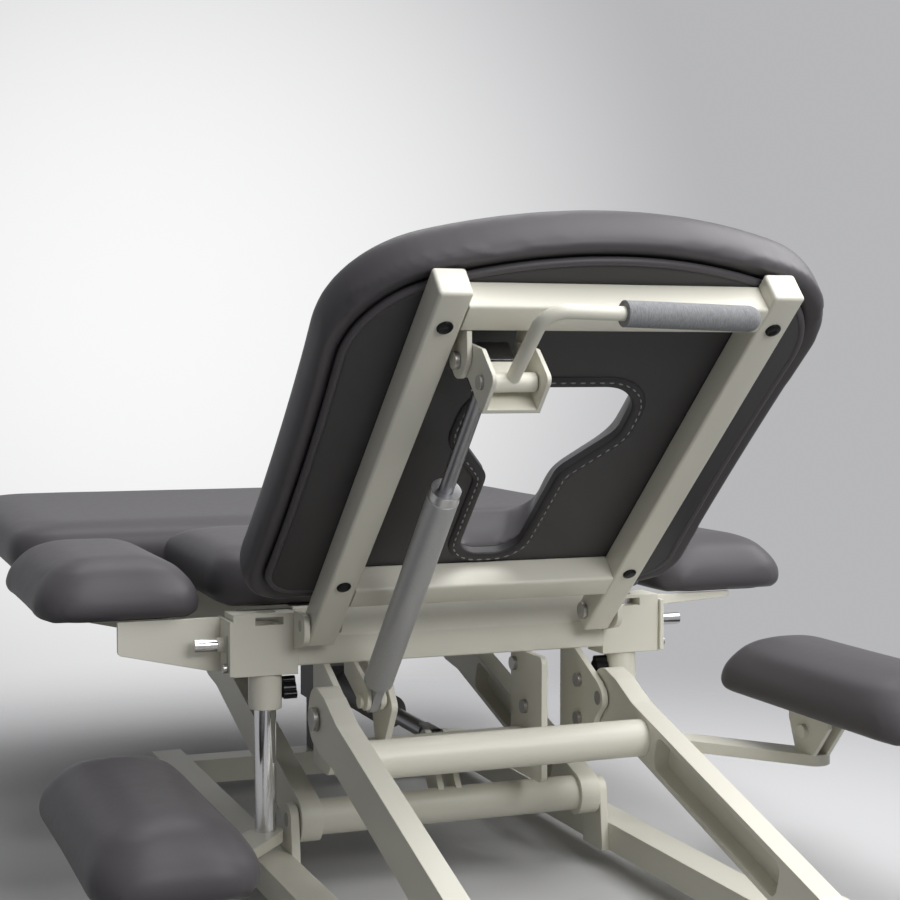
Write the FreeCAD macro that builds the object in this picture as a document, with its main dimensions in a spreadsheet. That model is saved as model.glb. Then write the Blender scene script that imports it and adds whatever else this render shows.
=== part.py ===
import FreeCAD, Part
import math
import os
import re
from types import SimpleNamespace

# Physiotherapy table with a raised head section, drawn at its lowest height.
# Millimetres. +Z is up, +X is to the right seen from the head end, +Y points to the foot end.
# The origin lies on the floor, under the middle of the table's overall box.

V = FreeCAD.Vector
doc = FreeCAD.newDocument("physiotherapy_table")

# Driving dimensions: name, value, what it is
SIZES = (
    ("front_reach", 640, "head hinge axis to the front end of the base"),
    ("rear_reach", 1320, "head hinge axis to the foot end of the leg cushion"),
    ("hinge_height", 384, "head hinge axis above the floor"),
    ("head_tilt", 41.7, "head section angle above level, degrees"),
    ("fit_gap", 0.05, "radial clearance of pins and shafts in their holes"),
    ("air_gap", 0.5, "clearance between moving neighbours"),
    ("tube_side", 40, "square tube of the head frame"),
    ("tube_wall", 2.5, "wall of the square tubes"),
    ("rail_centre", 206, "head rail centre from the middle plane"),
    ("rail_length", 679, "head rail length"),
    ("rail_foot", 20, "head rail end past the hinge axis"),
    ("cap_thick", 5, "plastic end cap on a head rail"),
    ("upper_cross", 624, "upper cross tube, from the foot of the rails"),
    ("lower_cross", 87, "lower cross tube, from the foot of the rails"),
    ("plug_low", 138, "lower plug, from the foot of the rails"),
    ("plug_high", 631, "upper plug, from the foot of the rails"),
    ("plug_radius", 9.5, "plug head radius"),
    ("plug_rise", 3.5, "plug head height"),
    ("pin_radius", 8, "head hinge pin radius"),
    ("lug_thick", 8, "hinge lug plate"),
    ("lug_radius", 22, "hinge lug rounding"),
    ("cushion_half", 325, "half the width of the head cushion"),
    ("seat_half", 336, "half the width of the seat cushion"),
    ("leg_half", 555, "half the width of the leg cushion"),
    ("cushion_thick", 78, "cushion height"),
    ("board_thick", 10, "board under a cushion"),
    ("board_inset", 30, "cushion edge past its board"),
    ("board_sink", 9, "board depth let into its cushion"),
    ("corner_radius", 62, "cushion corner in plan"),
    ("head_corner", 145, "upper head cushion corner in plan"),
    ("pad_corner", 56, "corner of a side or low pad in plan"),
    ("side_draw", 4, "how far a cushion side is drawn in"),
    ("head_arch", 38, "rise of the arched top edge"),
    ("head_low", 40, "lower edge of the head cushion, from the foot of the rails"),
    ("head_high", 688, "top corner of the head cushion, from the foot of the rails"),
    ("hole_low", 145, "lower end of the face hole, from the foot of the rails"),
    ("hole_high", 486, "upper end of the face hole, from the foot of the rails"),
    ("hole_half", 108, "half the width of the face hole at its widest"),
    ("hole_neck", 52, "half the width of the face hole at its neck"),
    ("hole_flare", 46, "how far the face hole widens on each side up to the cushion's face"),
    ("hole_slant", 90, "how far its wide part reaches further down at the cushion's face"),
    ("seat_front", 56, "front edge of the seat cushion behind the hinge axis"),
    ("seat_back", 484, "rear edge of the seat cushion behind the hinge axis"),
    ("section_gap", 20, "gap between seat and leg cushions"),
    ("seat_under", 18, "underside of the seat board above the hinge axis"),
    ("beam_half", "=rail_centre+tube_side/2+2*arm_gap", "half the width of the top frame"),
    ("beam_front", 30, "front face of the front beam behind the hinge axis"),
    ("beam_depth", 50, "depth of the front beam"),
    ("beam_height", 77, "height of the front beam"),
    ("beam_slope", 38, "height of its sloping upper face"),
    ("frame_tube", 50, "square tube of the top frame"),
    ("frame_rear", 700, "rear end of the side rails behind the hinge axis"),
    ("arm_length", 560, "lifting arm between its pivots"),
    ("arm_slope", 16.5, "lifting arm angle above level at rest, degrees"),
    ("arm_depth", 62, "lifting arm depth"),
    ("arm_width", 30, "lifting arm width"),
    ("arm_inner", 196, "inner face of a lifting arm from the middle plane"),
    ("arm_gap", 2, "gap beside a lifting arm"),
    ("pin_head", 16, "head radius of the lifting arm pins"),
    ("head_thick", 6, "head thickness of pins and bolts"),
    ("bolt_head", 10, "bolt head radius"),
    ("arm_head", 40, "rounded upper end of a lifting arm"),
    ("pivot_front", 45, "upper front pivot ahead of the hinge axis"),
    ("pivot_drop", 118, "upper pivots below the hinge axis"),
    ("pivot_span", 640, "front pivots to rear pivots"),
    ("pivot_radius", 10, "lifting arm pin radius"),
    ("hanger_thick", 9, "hanger plate of the top frame"),
    ("middle_room", 3, "gap between a middle plate and the gas spring's bolt head"),
    ("middle_near", "=-ear_centre-cheek_gap/2-ear_thick-head_thick-hanger_thick-middle_room",
     "inner face of a middle plate from the middle plane"),
    ("tie_front", 5, "front of the tie tube behind the hinge axis"),
    ("tie_drop", 209, "underside of the tie tube below the hinge axis"),
    ("plate_drop", 237, "foot of the right middle plate below the hinge axis"),
    ("torsion_radius", 25, "tube between a pair of lifting arms"),
    ("torsion_place", 120, "front torsion tube, from the upper pivot"),
    ("base_outer", 290, "outer face of the base rails from the middle plane"),
    ("base_width", 50, "base rail width"),
    ("base_height", 40, "base rail height"),
    ("base_lift", 25, "base rails above the floor"),
    ("base_rear", 740, "rear end of the base behind the hinge axis"),
    ("foot_radius", 24, "levelling foot radius"),
    ("foot_height", 14, "levelling foot pad height"),
    ("crank_length", 95, "actuator crank length"),
    ("crank_angle", 55, "actuator crank angle at rest, degrees"),
    ("crank_gap", 18, "gap between the crank cheeks"),
    ("ram_radius", 12, "actuator rod radius"),
    ("ram_tube", 26, "actuator tube radius"),
    ("ear_place", 583, "yoke pivot, from the foot of the rails"),
    ("ear_depth", 5, "yoke pivot behind the rails' back face"),
    ("ear_room", 49, "middle of the yoke from the left rail's inner face"),
    ("ear_centre", "=ear_room+tube_side/2-rail_centre", "middle of the yoke across the table"),
    ("ear_gap", 70, "clear width between the ear plates"),
    ("ear_thick", 6, "ear plate thickness"),
    ("ear_radius", 20, "ear plate rounding"),
    ("yoke_wall", 5, "yoke plate thickness"),
    ("yoke_reach", 80, "yoke length out from its pivot"),
    ("yoke_rise", 46, "yoke side plate height at its outer end"),
    ("shaft_radius", 7, "yoke pivot shaft radius"),
    ("barrel_out", 56, "lever barrel out from the yoke pivot"),
    ("barrel_up", 19, "lever barrel above the yoke pivot"),
    ("barrel_radius", 11, "lever barrel radius"),
    ("lever_radius", 8, "lever rod radius"),
    ("lever_rise", 121, "lever rod from the barrel to its level run"),
    ("lever_bend", 26, "lever bend radius"),
    ("lever_run", 258, "lever level run"),
    ("lever_lean", 8.7, "lever lean out from the gas spring's line, degrees"),
    ("lever_droop", 2.4, "droop of the level run, degrees"),
    ("grip_radius", 14.5, "foam grip radius"),
    ("grip_length", 168, "foam grip length"),
    ("gas_ahead", 7, "gas spring foot ahead of the hinge axis"),
    ("gas_below", 106, "gas spring foot below the hinge axis"),
    ("gas_rod_radius", 9, "gas spring rod radius"),
    ("gas_tube_radius", 20, "gas spring cylinder radius"),
    ("gas_rod_shown", 226, "yoke pivot to the top of the cylinder"),
    ("gas_stroke", 150, "gas spring rod inside the cylinder"),
    ("gas_reserve", 90, "free bore below the gas spring's piston"),
    ("gas_foot", 12, "gas spring foot tongue thickness"),
    ("cheek_gap", 14, "clear width between the gas spring's bracket cheeks"),
    ("bracket_outer", 320, "outer face of the side brackets"),
    ("bracket_top", 14, "top of the side brackets above the hinge axis"),
    ("bracket_height", 84, "side bracket height"),
    ("post_radius", 15, "chrome post radius"),
    ("post_centre", 270, "chrome post from the middle plane"),
    ("post_length", 200, "chrome post length"),
    ("post_top", 12, "top of a raised post above the hinge axis"),
    ("sleeve_radius", 23, "post sleeve radius"),
    ("sleeve_length", 48, "post sleeve length below its bracket"),
    ("drop_travel", 100, "height travel of a drop pad"),
    ("drop_inner", 392, "inner edge of a drop pad"),
    ("drop_width", 200, "drop pad width"),
    ("drop_length", 470, "drop pad length"),
    ("drop_rear", 20, "rear end of a drop pad behind the hinge axis"),
    ("drop_under", 128, "drop pad underside below the hinge axis, raised"),
    ("drop_thick", 82, "drop pad thickness"),
    ("swing_bar", 16, "drop pad bar thickness"),
    ("swing_width", 46, "drop pad bar width"),
    ("side_inner", 343, "inner edge of a side pad"),
    ("side_width", 232, "side pad width"),
    ("side_front", 62, "front end of a side pad behind the hinge axis"),
    ("side_length", 416, "side pad length"),
    ("side_under", 6, "side pad board underside above the hinge axis"),
    ("side_thick", 80, "side pad thickness"),
    ("side_travel", 40, "height travel of a side pad"),
    ("carrier_thick", 6, "side pad carrier plate"),
    ("carrier_length", 70, "side pad carrier plate along the table"),
    ("gusset_reach", 140, "side pad gusset length"),
    ("gusset_end", 45, "left side pad gusset height at its outer end"),
    ("slim_root", 16, "right side pad gusset height at its root"),
    ("slim_end", 9, "right side pad gusset height at its outer end"),
    ("boss_length", 10, "plunger boss length"),
    ("plunger_radius", 9, "plunger knob radius"),
    ("plunger_length", 31, "plunger knob length"),
    ("guide_radius", 4, "guide bolt radius in a carrier's slot"),
    ("guide_head", 6.5, "guide bolt head radius"),
    ("guide_inset", 9, "guide bolt from the front face of its bracket"),
    ("guide_rise", 12, "guide bolt above the foot of its bracket"),
    ("leg_rail_centre", 140, "leg rail centre from the middle plane"),
    ("leg_pin_radius", 6, "leg hinge pin radius"),
)


def make_sheet():
    """Write the driving dimensions into the document's sheet."""
    sheet = doc.addObject("Spreadsheet::Sheet", "sizes")
    for row, (alias, value, note) in enumerate(SIZES, 1):
        sheet.setAlias(f"B{row}", alias)
    for row, (alias, value, note) in enumerate(SIZES, 1):
        sheet.set(f"A{row}", note)
        sheet.set(f"B{row}", str(value))
    doc.recompute()
    return sheet


sheet = make_sheet()


s = SimpleNamespace(**{alias: float(sheet.get(alias)) for alias, value, note in SIZES})


def linked(text):
    """Point each size name in an expression at its cell."""
    return re.sub(r"[a-z_]{4,}", lambda word: "sizes." + word.group(0), str(text))


def bind(thing, **texts):
    """Tie properties of an object to the sheet."""
    for prop, text in texts.items():
        thing.setExpression(prop, linked(text))
    return thing


def place(thing, at):
    """Tie the position of an object to the sheet."""
    for axis, text in zip("xyz", at):
        thing.setExpression("Placement.Base." + axis, linked(text))
    return thing


def box(name, extent, at):
    """A block, from its lowest corner."""
    block = doc.addObject("Part::Box", name)
    bind(block, Length=extent[0], Width=extent[1], Height=extent[2])
    return place(block, at)


AXIS_TURN = {
    "X": FreeCAD.Rotation(V(0, 1, 0), 90),
    "Y": FreeCAD.Rotation(V(1, 0, 0), -90),
    "Z": FreeCAD.Rotation(),
}


def rod(name, radius, length, at, axis="X"):
    """A round bar along one axis, from its lowest end."""
    bar = doc.addObject("Part::Cylinder", name)
    bar.Placement = FreeCAD.Placement(V(), AXIS_TURN[axis])
    bind(bar, Radius=radius, Height=length)
    return place(bar, at)


def join(name, pieces):
    """One solid out of several that meet."""
    whole = doc.addObject("Part::MultiFuse", name)
    whole.Shapes = pieces
    whole.Refine = True
    return whole


def cut(name, base, tools):
    """A solid with others taken out of it."""
    rest = doc.addObject("Part::Cut", name)
    rest.Base = base
    rest.Tool = tools[0] if len(tools) == 1 else join(name + "_tools", tools)
    return rest


def square_tube(name, extent, at, along, wall="tube_wall"):
    """A hollow rectangular tube, open at both ends along one axis (0, 1 or 2)."""
    inner = [text if axis == along else f"{text}-2*{wall}" for axis, text in enumerate(extent)]
    corner = [text if axis == along else f"{text}+{wall}" for axis, text in enumerate(at)]
    return cut(name, box(name + "_outside", extent, at), [box(name + "_inside", inner, corner)])


SKETCH_TURN = {
    "YZ": FreeCAD.Rotation(V(0, 1, 0), V(0, 0, 1), V(1, 0, 0), "ZXY"),
    "XZ": FreeCAD.Rotation(V(1, 0, 0), V(0, 0, 1), V(0, -1, 0), "ZXY"),
    "XY": FreeCAD.Rotation(),
}


def rounded(points):
    """Edges of a closed outline; a third number on a point rounds that corner."""
    corners = []
    for index, point in enumerate(points):
        here = V(point[0], point[1], 0)
        radius = point[2] if len(point) > 2 else 0
        before = V(*points[index - 1][:2], 0)
        after = V(*points[(index + 1) % len(points)][:2], 0)
        back = (before - here).normalize()
        on = (after - here).normalize()
        half = back.getAngle(on) / 2
        trim = radius / math.tan(half)
        middle = here + (back + on).normalize() * (radius / math.sin(half) - radius)
        corners.append((here + back * trim, middle, here + on * trim, radius))
    edges = []
    for index, (start, middle, end, radius) in enumerate(corners):
        if radius:
            edges.append(Part.Arc(start, middle, end))
        edges.append(Part.LineSegment(end, corners[(index + 1) % len(corners)][0]))
    return edges


def plate(name, plane, points, thick, at):
    """A flat plate: a sketched outline drawn out along the plane's normal."""
    outline = doc.addObject("Sketcher::SketchObject", name + "_outline")
    outline.Placement = FreeCAD.Placement(V(*at), SKETCH_TURN[plane])
    outline.addGeometry(rounded(points))
    sheet_metal = doc.addObject("Part::Extrusion", name)
    sheet_metal.Base = outline
    sheet_metal.DirMode = "Normal"
    sheet_metal.Solid = True
    return bind(sheet_metal, LengthFwd=thick)


nodes = []


def node(label, pieces, frame=None):
    """One named sub-part, set down in the frame that its pieces are drawn in."""
    group = doc.addObject("Part::Compound", label)
    group.Label = label
    group.Links = pieces
    if frame is not None:
        group.Placement = frame
    nodes.append(group)
    return group


def formed(label, shape, frame=None):
    """One named sub-part with a shape that has no primitive."""
    piece = doc.addObject("Part::Feature", label)
    piece.Label = label
    piece.Shape = shape
    if frame is not None:
        piece.Placement = frame
    nodes.append(piece)
    return piece


def arch_lean(rise, half, radius):
    """Slope at the end of an arched edge, where a corner of the radius carries on from it."""
    lean = 0
    for _ in range(6):
        lean = 2 * math.atan2(rise, half - radius * (1 - math.sin(lean)))
    return lean


def pad_outline(x_low, x_high, y_low, y_high, radius, inset, level, bulge):
    """A closed pad outline: rounded corners, sides bowed by bulge (front, right, back, left)."""
    x_low, x_high, y_low, y_high = x_low + inset, x_high - inset, y_low + inset, y_high - inset
    round_off = max(radius - inset * 0.5, radius * 0.4)
    foot_round = min(round_off, max(s.corner_radius - inset * 0.5, s.corner_radius * 0.4))
    reach = foot_round * (1 - math.sqrt(0.5))
    x_mid, y_mid = (x_low + x_high) / 2, (y_low + y_high) / 2
    front, right, back, left = bulge
    lean = arch_lean(max(front, 0), (x_high - x_low) / 2, round_off)
    turn = (math.pi / 2 + lean) / 2
    arch_end = round_off * (1 - math.sin(lean))
    side_end = y_low + round_off * math.cos(lean)
    corner_in = round_off * (1 - math.sin(turn))
    corner_y = side_end - round_off * math.cos(turn)
    ring = [
        (x_low + arch_end, y_low), (x_mid, y_low - front), (x_high - arch_end, y_low),
        (x_high - corner_in, corner_y), (x_high, side_end), (x_high + right, y_mid),
        (x_high, y_high - foot_round), (x_high - reach, y_high - reach), (x_high - foot_round, y_high),
        (x_mid, y_high + back), (x_low + foot_round, y_high), (x_low + reach, y_high - reach),
        (x_low, y_high - foot_round), (x_low - left, y_mid), (x_low, side_end),
        (x_low + corner_in, corner_y), (x_low + arch_end, y_low),
    ]
    spots = [V(x, y, level) for x, y in ring]
    arcs = [Part.Arc(*spots[start:start + 3]) for start in range(0, len(spots) - 1, 2)]
    return Part.Wire([arc.toShape() for arc in arcs])


# Height share and inset of each loft section: drawn-in foot, full side, rolled shoulder, crown
PAD_RISE = ((0, 8), (0.1, 2.5), (0.3, 0), (0.55, 0.8), (0.72, 4), (0.84, 10), (0.92, 19), (0.97, 34),
            (1, 80))
DOME_RISE = ((0, 6), (0.08, 1.5), (0.2, 0), (0.36, 1.5), (0.52, 7), (0.69, 18), (0.82, 32), (0.92, 50),
             (0.98, 66), (1, 77))


def pad_solid(x_low, x_high, y_low, y_high, bottom, thick, radius, bulge, rise):
    """A crowned pad with drawn-in sides."""
    rings = []
    for share, inset in rise:
        level = bottom + share * thick
        rings.append(pad_outline(x_low, x_high, y_low, y_high, radius, inset, level, bulge))
    return Part.makeLoft(rings, True, True)


def board_solid(x_low, x_high, y_low, y_high, bottom, thick, radius, bulge, inset):
    """A flat board with a pad's outline, inset from its edge."""
    ring = pad_outline(x_low, x_high, y_low, y_high, radius, inset, bottom, bulge)
    return Part.Face(ring).extrude(V(0, 0, thick))


# Places worked out from the driving dimensions
hinge = V(0, (s.front_reach - s.rear_reach) / 2, s.hinge_height)
in_top = FreeCAD.Placement(hinge, FreeCAD.Rotation())
in_head = FreeCAD.Placement(hinge, FreeCAD.Rotation(V(-1, 0, 0), s.head_tilt))
slope = math.radians(s.arm_slope)
arm_run = V(0, math.cos(slope), math.sin(slope)) * s.arm_length
front_upper = V(0, -s.pivot_front, -s.pivot_drop)
front_lower = front_upper - arm_run
rear_upper = front_upper + V(0, s.pivot_span, 0)
rear_lower = front_lower + V(0, s.pivot_span, 0)
SIDES = (("left", -1), ("right", 1))

# The yoke's frame: origin on its pivot, Z from the gas spring's foot to the pivot, Y towards the cushion
yoke_pivot = in_head.multVec(V(s.ear_centre, s.rail_foot - s.ear_place, -s.tube_side / 2 - s.ear_depth))
gas_pivot = hinge + V(s.ear_centre, -s.gas_ahead, -s.gas_below)
gas_line = yoke_pivot - gas_pivot
gas_span = gas_line.Length
gas_up = V(gas_line).normalize()
across = V(1, 0, 0)
in_yoke = FreeCAD.Placement(yoke_pivot, FreeCAD.Rotation(across, gas_up.cross(across), gas_up, "ZXY"))
lever_turn = FreeCAD.Placement(V(0, -s.barrel_out, s.barrel_up), FreeCAD.Rotation(V(1, 0, 0), s.lever_lean))
in_lever = in_yoke.multiply(lever_turn)


def flank(sign, near, width):
    """Lowest X of a piece that starts at a distance from the middle plane."""
    return near if sign > 0 else f"-({near})-({width})"


def flank_at(sign, near, width):
    """The same, as a number."""
    return near if sign > 0 else -near - width


def base_frame():
    """Floor frame: two rails, two cross tubes, feet, pivot lugs and pins."""
    rail_z = "base_lift-hinge_height"
    inner = "base_outer-base_width"
    rails = []
    for side, sign in SIDES:
        extent = ("base_width", "front_reach+base_rear", "base_height")
        at = (flank(sign, inner, "base_width"), "-front_reach", rail_z)
        rails.append(square_tube("base_tube_" + side, extent, at, 1))
    node("base_rails", rails, in_top)
    crosses = []
    for end, y in (("front", f"{front_lower.y}+2*base_width"), ("rear", "base_rear-2*base_width")):
        extent = (f"2*({inner})", "base_width", "base_height")
        at = (f"-({inner})", y, rail_z)
        crosses.append(square_tube("base_cross_tube_" + end, extent, at, 0))
    node("base_cross_tubes", crosses, in_top)
    feet = []
    lugs = []
    pins = []
    for side, sign in SIDES:
        middle = f"{sign}*(base_outer-base_width/2)"
        for end, y in (("front", "base_width-front_reach"), ("rear", "base_rear-base_width")):
            name = f"{side}_{end}"
            pad = rod("foot_pad_" + name, "foot_radius", "foot_height", (middle, y, "-hinge_height"), "Z")
            stem_at = (middle, y, "-hinge_height+foot_height")
            stem = rod("foot_stem_" + name, "foot_radius/4", "base_lift-foot_height", stem_at, "Z")
            feet.append(join("foot_" + name, [pad, stem]))
        for end, pivot in (("front", front_lower), ("rear", rear_lower)):
            name = f"{side}_{end}"
            low = s.base_lift - s.hinge_height
            wide = s.lug_radius * 1.5
            top = pivot.z + s.lug_radius
            points = [(pivot.y - wide, low), (pivot.y + wide, low),
                      (pivot.y + s.lug_radius, top, s.lug_radius * 0.9),
                      (pivot.y - s.lug_radius, top, s.lug_radius * 0.9)]
            near = s.arm_inner + s.arm_width + s.arm_gap
            thick = s.base_outer - s.base_width - near
            lug_text = "base_outer-base_width-arm_inner-arm_width-arm_gap"
            lug_x = flank_at(sign, near, thick)
            blank = plate("base_lug_blank_" + name, "YZ", points, lug_text, (lug_x, 0, 0))
            length = f"{inner}-arm_inner+arm_gap"
            start = "arm_inner-arm_gap"
            at = (flank(sign, start, length), pivot.y, pivot.z)
            bore = rod("base_lug_bore_" + name, "pivot_radius+fit_gap", length, at)
            lugs.append(cut("base_lug_" + name, blank, [bore]))
            head_at = (flank(sign, f"{start}-head_thick", "head_thick"), pivot.y, pivot.z)
            shank = rod("base_shank_" + name, "pivot_radius", length, at)
            head = rod("base_pin_head_" + name, "pin_head", "head_thick", head_at)
            pins.append(join("base_pin_" + name, [shank, head]))
    node("levelling_feet", feet, in_top)
    node("base_lugs", lugs, in_top)
    node("base_pins", pins, in_top)


def arm_points(lower, upper, inset):
    """Outline of a lifting arm, or of the pocket inset in it."""
    along = (upper - lower).normalize()
    across = V(0, -along.z, along.y)
    half = s.arm_depth / 2 - inset
    head = s.arm_head - inset
    spread = (
        (lower, -half, -half, half * 0.9), (upper, -2 * head, -half, head),
        (upper, -head * 0.6, -head, head * 0.6), (upper, head, -head, head * 0.9),
        (upper, head, head, head * 0.9), (upper, -head * 0.6, head, head * 0.6),
        (upper, -2 * head, half, head), (lower, -half, half, half * 0.9),
    )
    points = []
    for origin, run, rise, radius in spread:
        spot = origin + along * run + across * rise
        points.append((spot.y, spot.z, radius))
    return points


def arm_pocket(lower, upper):
    """Outline of the pocket in the inner face of a lifting arm."""
    along = (upper - lower).normalize()
    across = V(0, -along.z, along.y)
    half = s.arm_depth / 2 - s.arm_width / 4
    near = lower + along * (s.arm_depth + s.pin_head)
    far = upper - along * (s.torsion_place + s.torsion_radius + s.arm_width / 2)
    corners = (near - across * half, far - across * half, far + across * half, near + across * half)
    return [(spot.y, spot.z, half * 0.6) for spot in corners]


def lifting_arms(end, lower, upper):
    """A left and a right lifting arm."""
    for side, sign in SIDES:
        name = f"{end}_{side}"
        start = flank_at(sign, s.arm_inner, s.arm_width)
        blank = plate("arm_blank_" + name, "YZ", arm_points(lower, upper, 0), "arm_width", (start, 0, 0))
        at_x = flank(sign, "arm_inner", "arm_width")
        tools = []
        for pivot, place_name in ((lower, "lower"), (upper, "upper")):
            bore_name = f"arm_bore_{name}_{place_name}"
            tools.append(rod(bore_name, "pivot_radius+fit_gap", "arm_width", (at_x, pivot.y, pivot.z)))
        depth = s.arm_width * 0.75
        pocket_x = flank_at(sign, s.arm_inner, depth)
        pocket = arm_pocket(lower, upper)
        tools.append(plate("arm_pocket_" + name, "YZ", pocket, "arm_width*0.75", (pocket_x, 0, 0)))
        node(f"{end}_arm_{side}", [cut("arm_" + name, blank, tools)], in_top)


def lift():
    """Lifting arms, their torsion tubes and the actuator that turns them."""
    lifting_arms("front", front_lower, front_upper)
    lifting_arms("rear", rear_lower, rear_upper)
    along = V(arm_run).normalize()
    tie = front_upper - along * s.torsion_place
    wide = "2*arm_inner"
    outside = rod("front_torsion_outside", "torsion_radius", wide, ("-arm_inner", tie.y, tie.z))
    inside = rod("front_torsion_inside", "torsion_radius-tube_wall*1.6", wide, ("-arm_inner", tie.y, tie.z))
    node("front_torsion_tube", [cut("front_torsion", outside, [inside])], in_top)

    # Rear torsion tube with the crank's two cheeks
    angle = math.radians(s.crank_angle)
    reach_out = V(0, math.cos(angle), math.sin(angle)) * s.crank_length
    across = V(0, -math.sin(angle), math.cos(angle)) * s.torsion_radius * 0.8
    tip = rear_lower + reach_out
    end = tip + reach_out * 0.2
    corner_round = s.torsion_radius * 0.7
    points = [(spot.y, spot.z, radius) for spot, radius in (
        (rear_lower - across, 0), (end - across, corner_round), (end + across, corner_round),
        (rear_lower + across, 0))]
    at = ("-arm_inner", rear_lower.y, rear_lower.z)
    cheeks = []
    for side, sign in SIDES:
        start = flank_at(sign, s.crank_gap / 2, s.hanger_thick)
        cheeks.append(plate("crank_cheek_" + side, "YZ", points, "hanger_thick", (start, 0, 0)))
    whole = join("rear_torsion_blank", [rod("rear_torsion_outside", "torsion_radius", wide, at)] + cheeks)
    hollow = rod("rear_torsion_inside", "pin_head+tube_wall", wide, at)
    node("rear_torsion_tube", [cut("rear_torsion", whole, [hollow])], in_top)

    # Actuator: housing on the rear cross tube, rod to the crank
    level = rear_lower.z + s.crank_length * (1 + math.sin(angle)) / 2
    back = "base_rear-2*base_width"
    tube_front = tip.y + 8 * s.torsion_radius
    floor_top = "base_lift+base_height-hinge_height"
    block_low = f"{level}-ram_tube*1.4"
    stand_size = ("ram_tube*2", "base_width", f"{block_low}-({floor_top})")
    stand = box("ram_stand", stand_size, ("-ram_tube", back, floor_top))
    motor_depth = "base_width*3"
    motor_at = ("-ram_tube*1.4", f"{back}-base_width*2", block_low)
    motor = box("ram_motor", ("ram_tube*2.8", motor_depth, "ram_tube*2.8"), motor_at)
    mouth = (0, tube_front, level)
    tube = rod("ram_tube_outside", "ram_tube", f"{back}-base_width-{tube_front}", mouth, "Y")
    bore = rod("ram_bore", "ram_radius+fit_gap", f"{back}-2*base_width-{tube_front}", mouth, "Y")
    node("actuator_housing", [cut("ram_body", join("ram_blank", [stand, motor, tube]), [bore])], in_top)
    inside_length = f"{tube_front}-{tip.y}+crank_length*1.1"
    shank = rod("ram_rod", "ram_radius", inside_length, (0, tip.y, level), "Y")
    clear = s.torsion_radius + s.ram_radius
    flat = s.ram_radius
    eye = [(tip.y - flat, level - flat, flat * 0.9), (tip.y + clear + flat, level - flat),
           (tip.y + clear + flat, level + flat), (tip.y - flat, level + flat, flat * 0.9)]
    tongue = s.crank_gap - 2 * s.arm_gap
    eye_plate = plate("ram_eye", "YZ", eye, "crank_gap-2*arm_gap", (-tongue / 2, 0, 0))
    relief_at = ("-crank_gap", tip.y - clear, level - 2 * flat)
    relief = box("ram_relief", ("crank_gap*2", 2 * clear, "ram_radius*4"), relief_at)
    node("actuator_rod", [join("ram_rod_end", [cut("ram_shank", shank, [relief]), eye_plate])], in_top)


def bolt(name, at, sign):
    """A bolt head on a plate face that looks along X."""
    start = at[0] if sign > 0 else f"{at[0]}-head_thick"
    return rod(name, "bolt_head", "head_thick", (start, at[1], at[2]))


def front_beam():
    """Front beam of the top frame, with its sloping upper face."""
    low = s.seat_under - s.beam_height
    front = s.beam_front
    back = front + s.beam_depth
    edge = s.tube_wall
    points = [(front, low, edge), (back, low, edge), (back, s.seat_under, edge),
              (front + s.beam_slope * 0.7, s.seat_under, edge), (front, s.seat_under - s.beam_slope, edge)]
    solid = plate("front_beam_blank", "YZ", points, "2*beam_half", (-s.beam_half, 0, 0))
    inner = ("2*beam_half", "beam_depth-4*tube_wall-beam_slope*0.7", "beam_height-4*tube_wall")
    at = ("-beam_half", "beam_front+2*tube_wall+beam_slope*0.7", "seat_under-beam_height+2*tube_wall")
    node("front_beam", [cut("front_beam_shell", solid, [box("front_beam_hollow", inner, at)])], in_top)


def top_frame():
    """Side rails, beams and the hanger plates that hold the lifting arms."""
    front_beam()
    rail_y = "beam_front+beam_depth"
    rail_z = "seat_under-frame_tube"
    rails = []
    for side, sign in SIDES:
        extent = ("frame_tube", f"frame_rear-({rail_y})", "frame_tube")
        at = (flank(sign, "beam_half-frame_tube", "frame_tube"), rail_y, rail_z)
        rails.append(square_tube("side_tube_" + side, extent, at, 1))
    node("side_rails", rails, in_top)
    inner = "beam_half-frame_tube"
    extent = (f"2*({inner})", "tube_side", "frame_tube")
    at = (f"-({inner})", "seat_back-tube_side-section_gap", rail_z)
    beams = [square_tube("middle_tube", extent, at, 0)]
    hang = "arm_inner-arm_gap-hanger_thick"
    extent = (f"2*({hang})", "frame_tube", "frame_tube")
    at = (f"-({hang})", rear_upper.y + s.ear_radius, f"{rail_z}-frame_tube-arm_gap")
    beams.append(square_tube("rear_tube", extent, at, 0))
    extent = (f"{hang}+middle_near", "tube_side", "tube_side")
    at = (f"-({hang})", "tie_front", "-tie_drop")
    beams.append(square_tube("tie_tube", extent, at, 0))
    node("frame_beams", beams, in_top)


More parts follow.
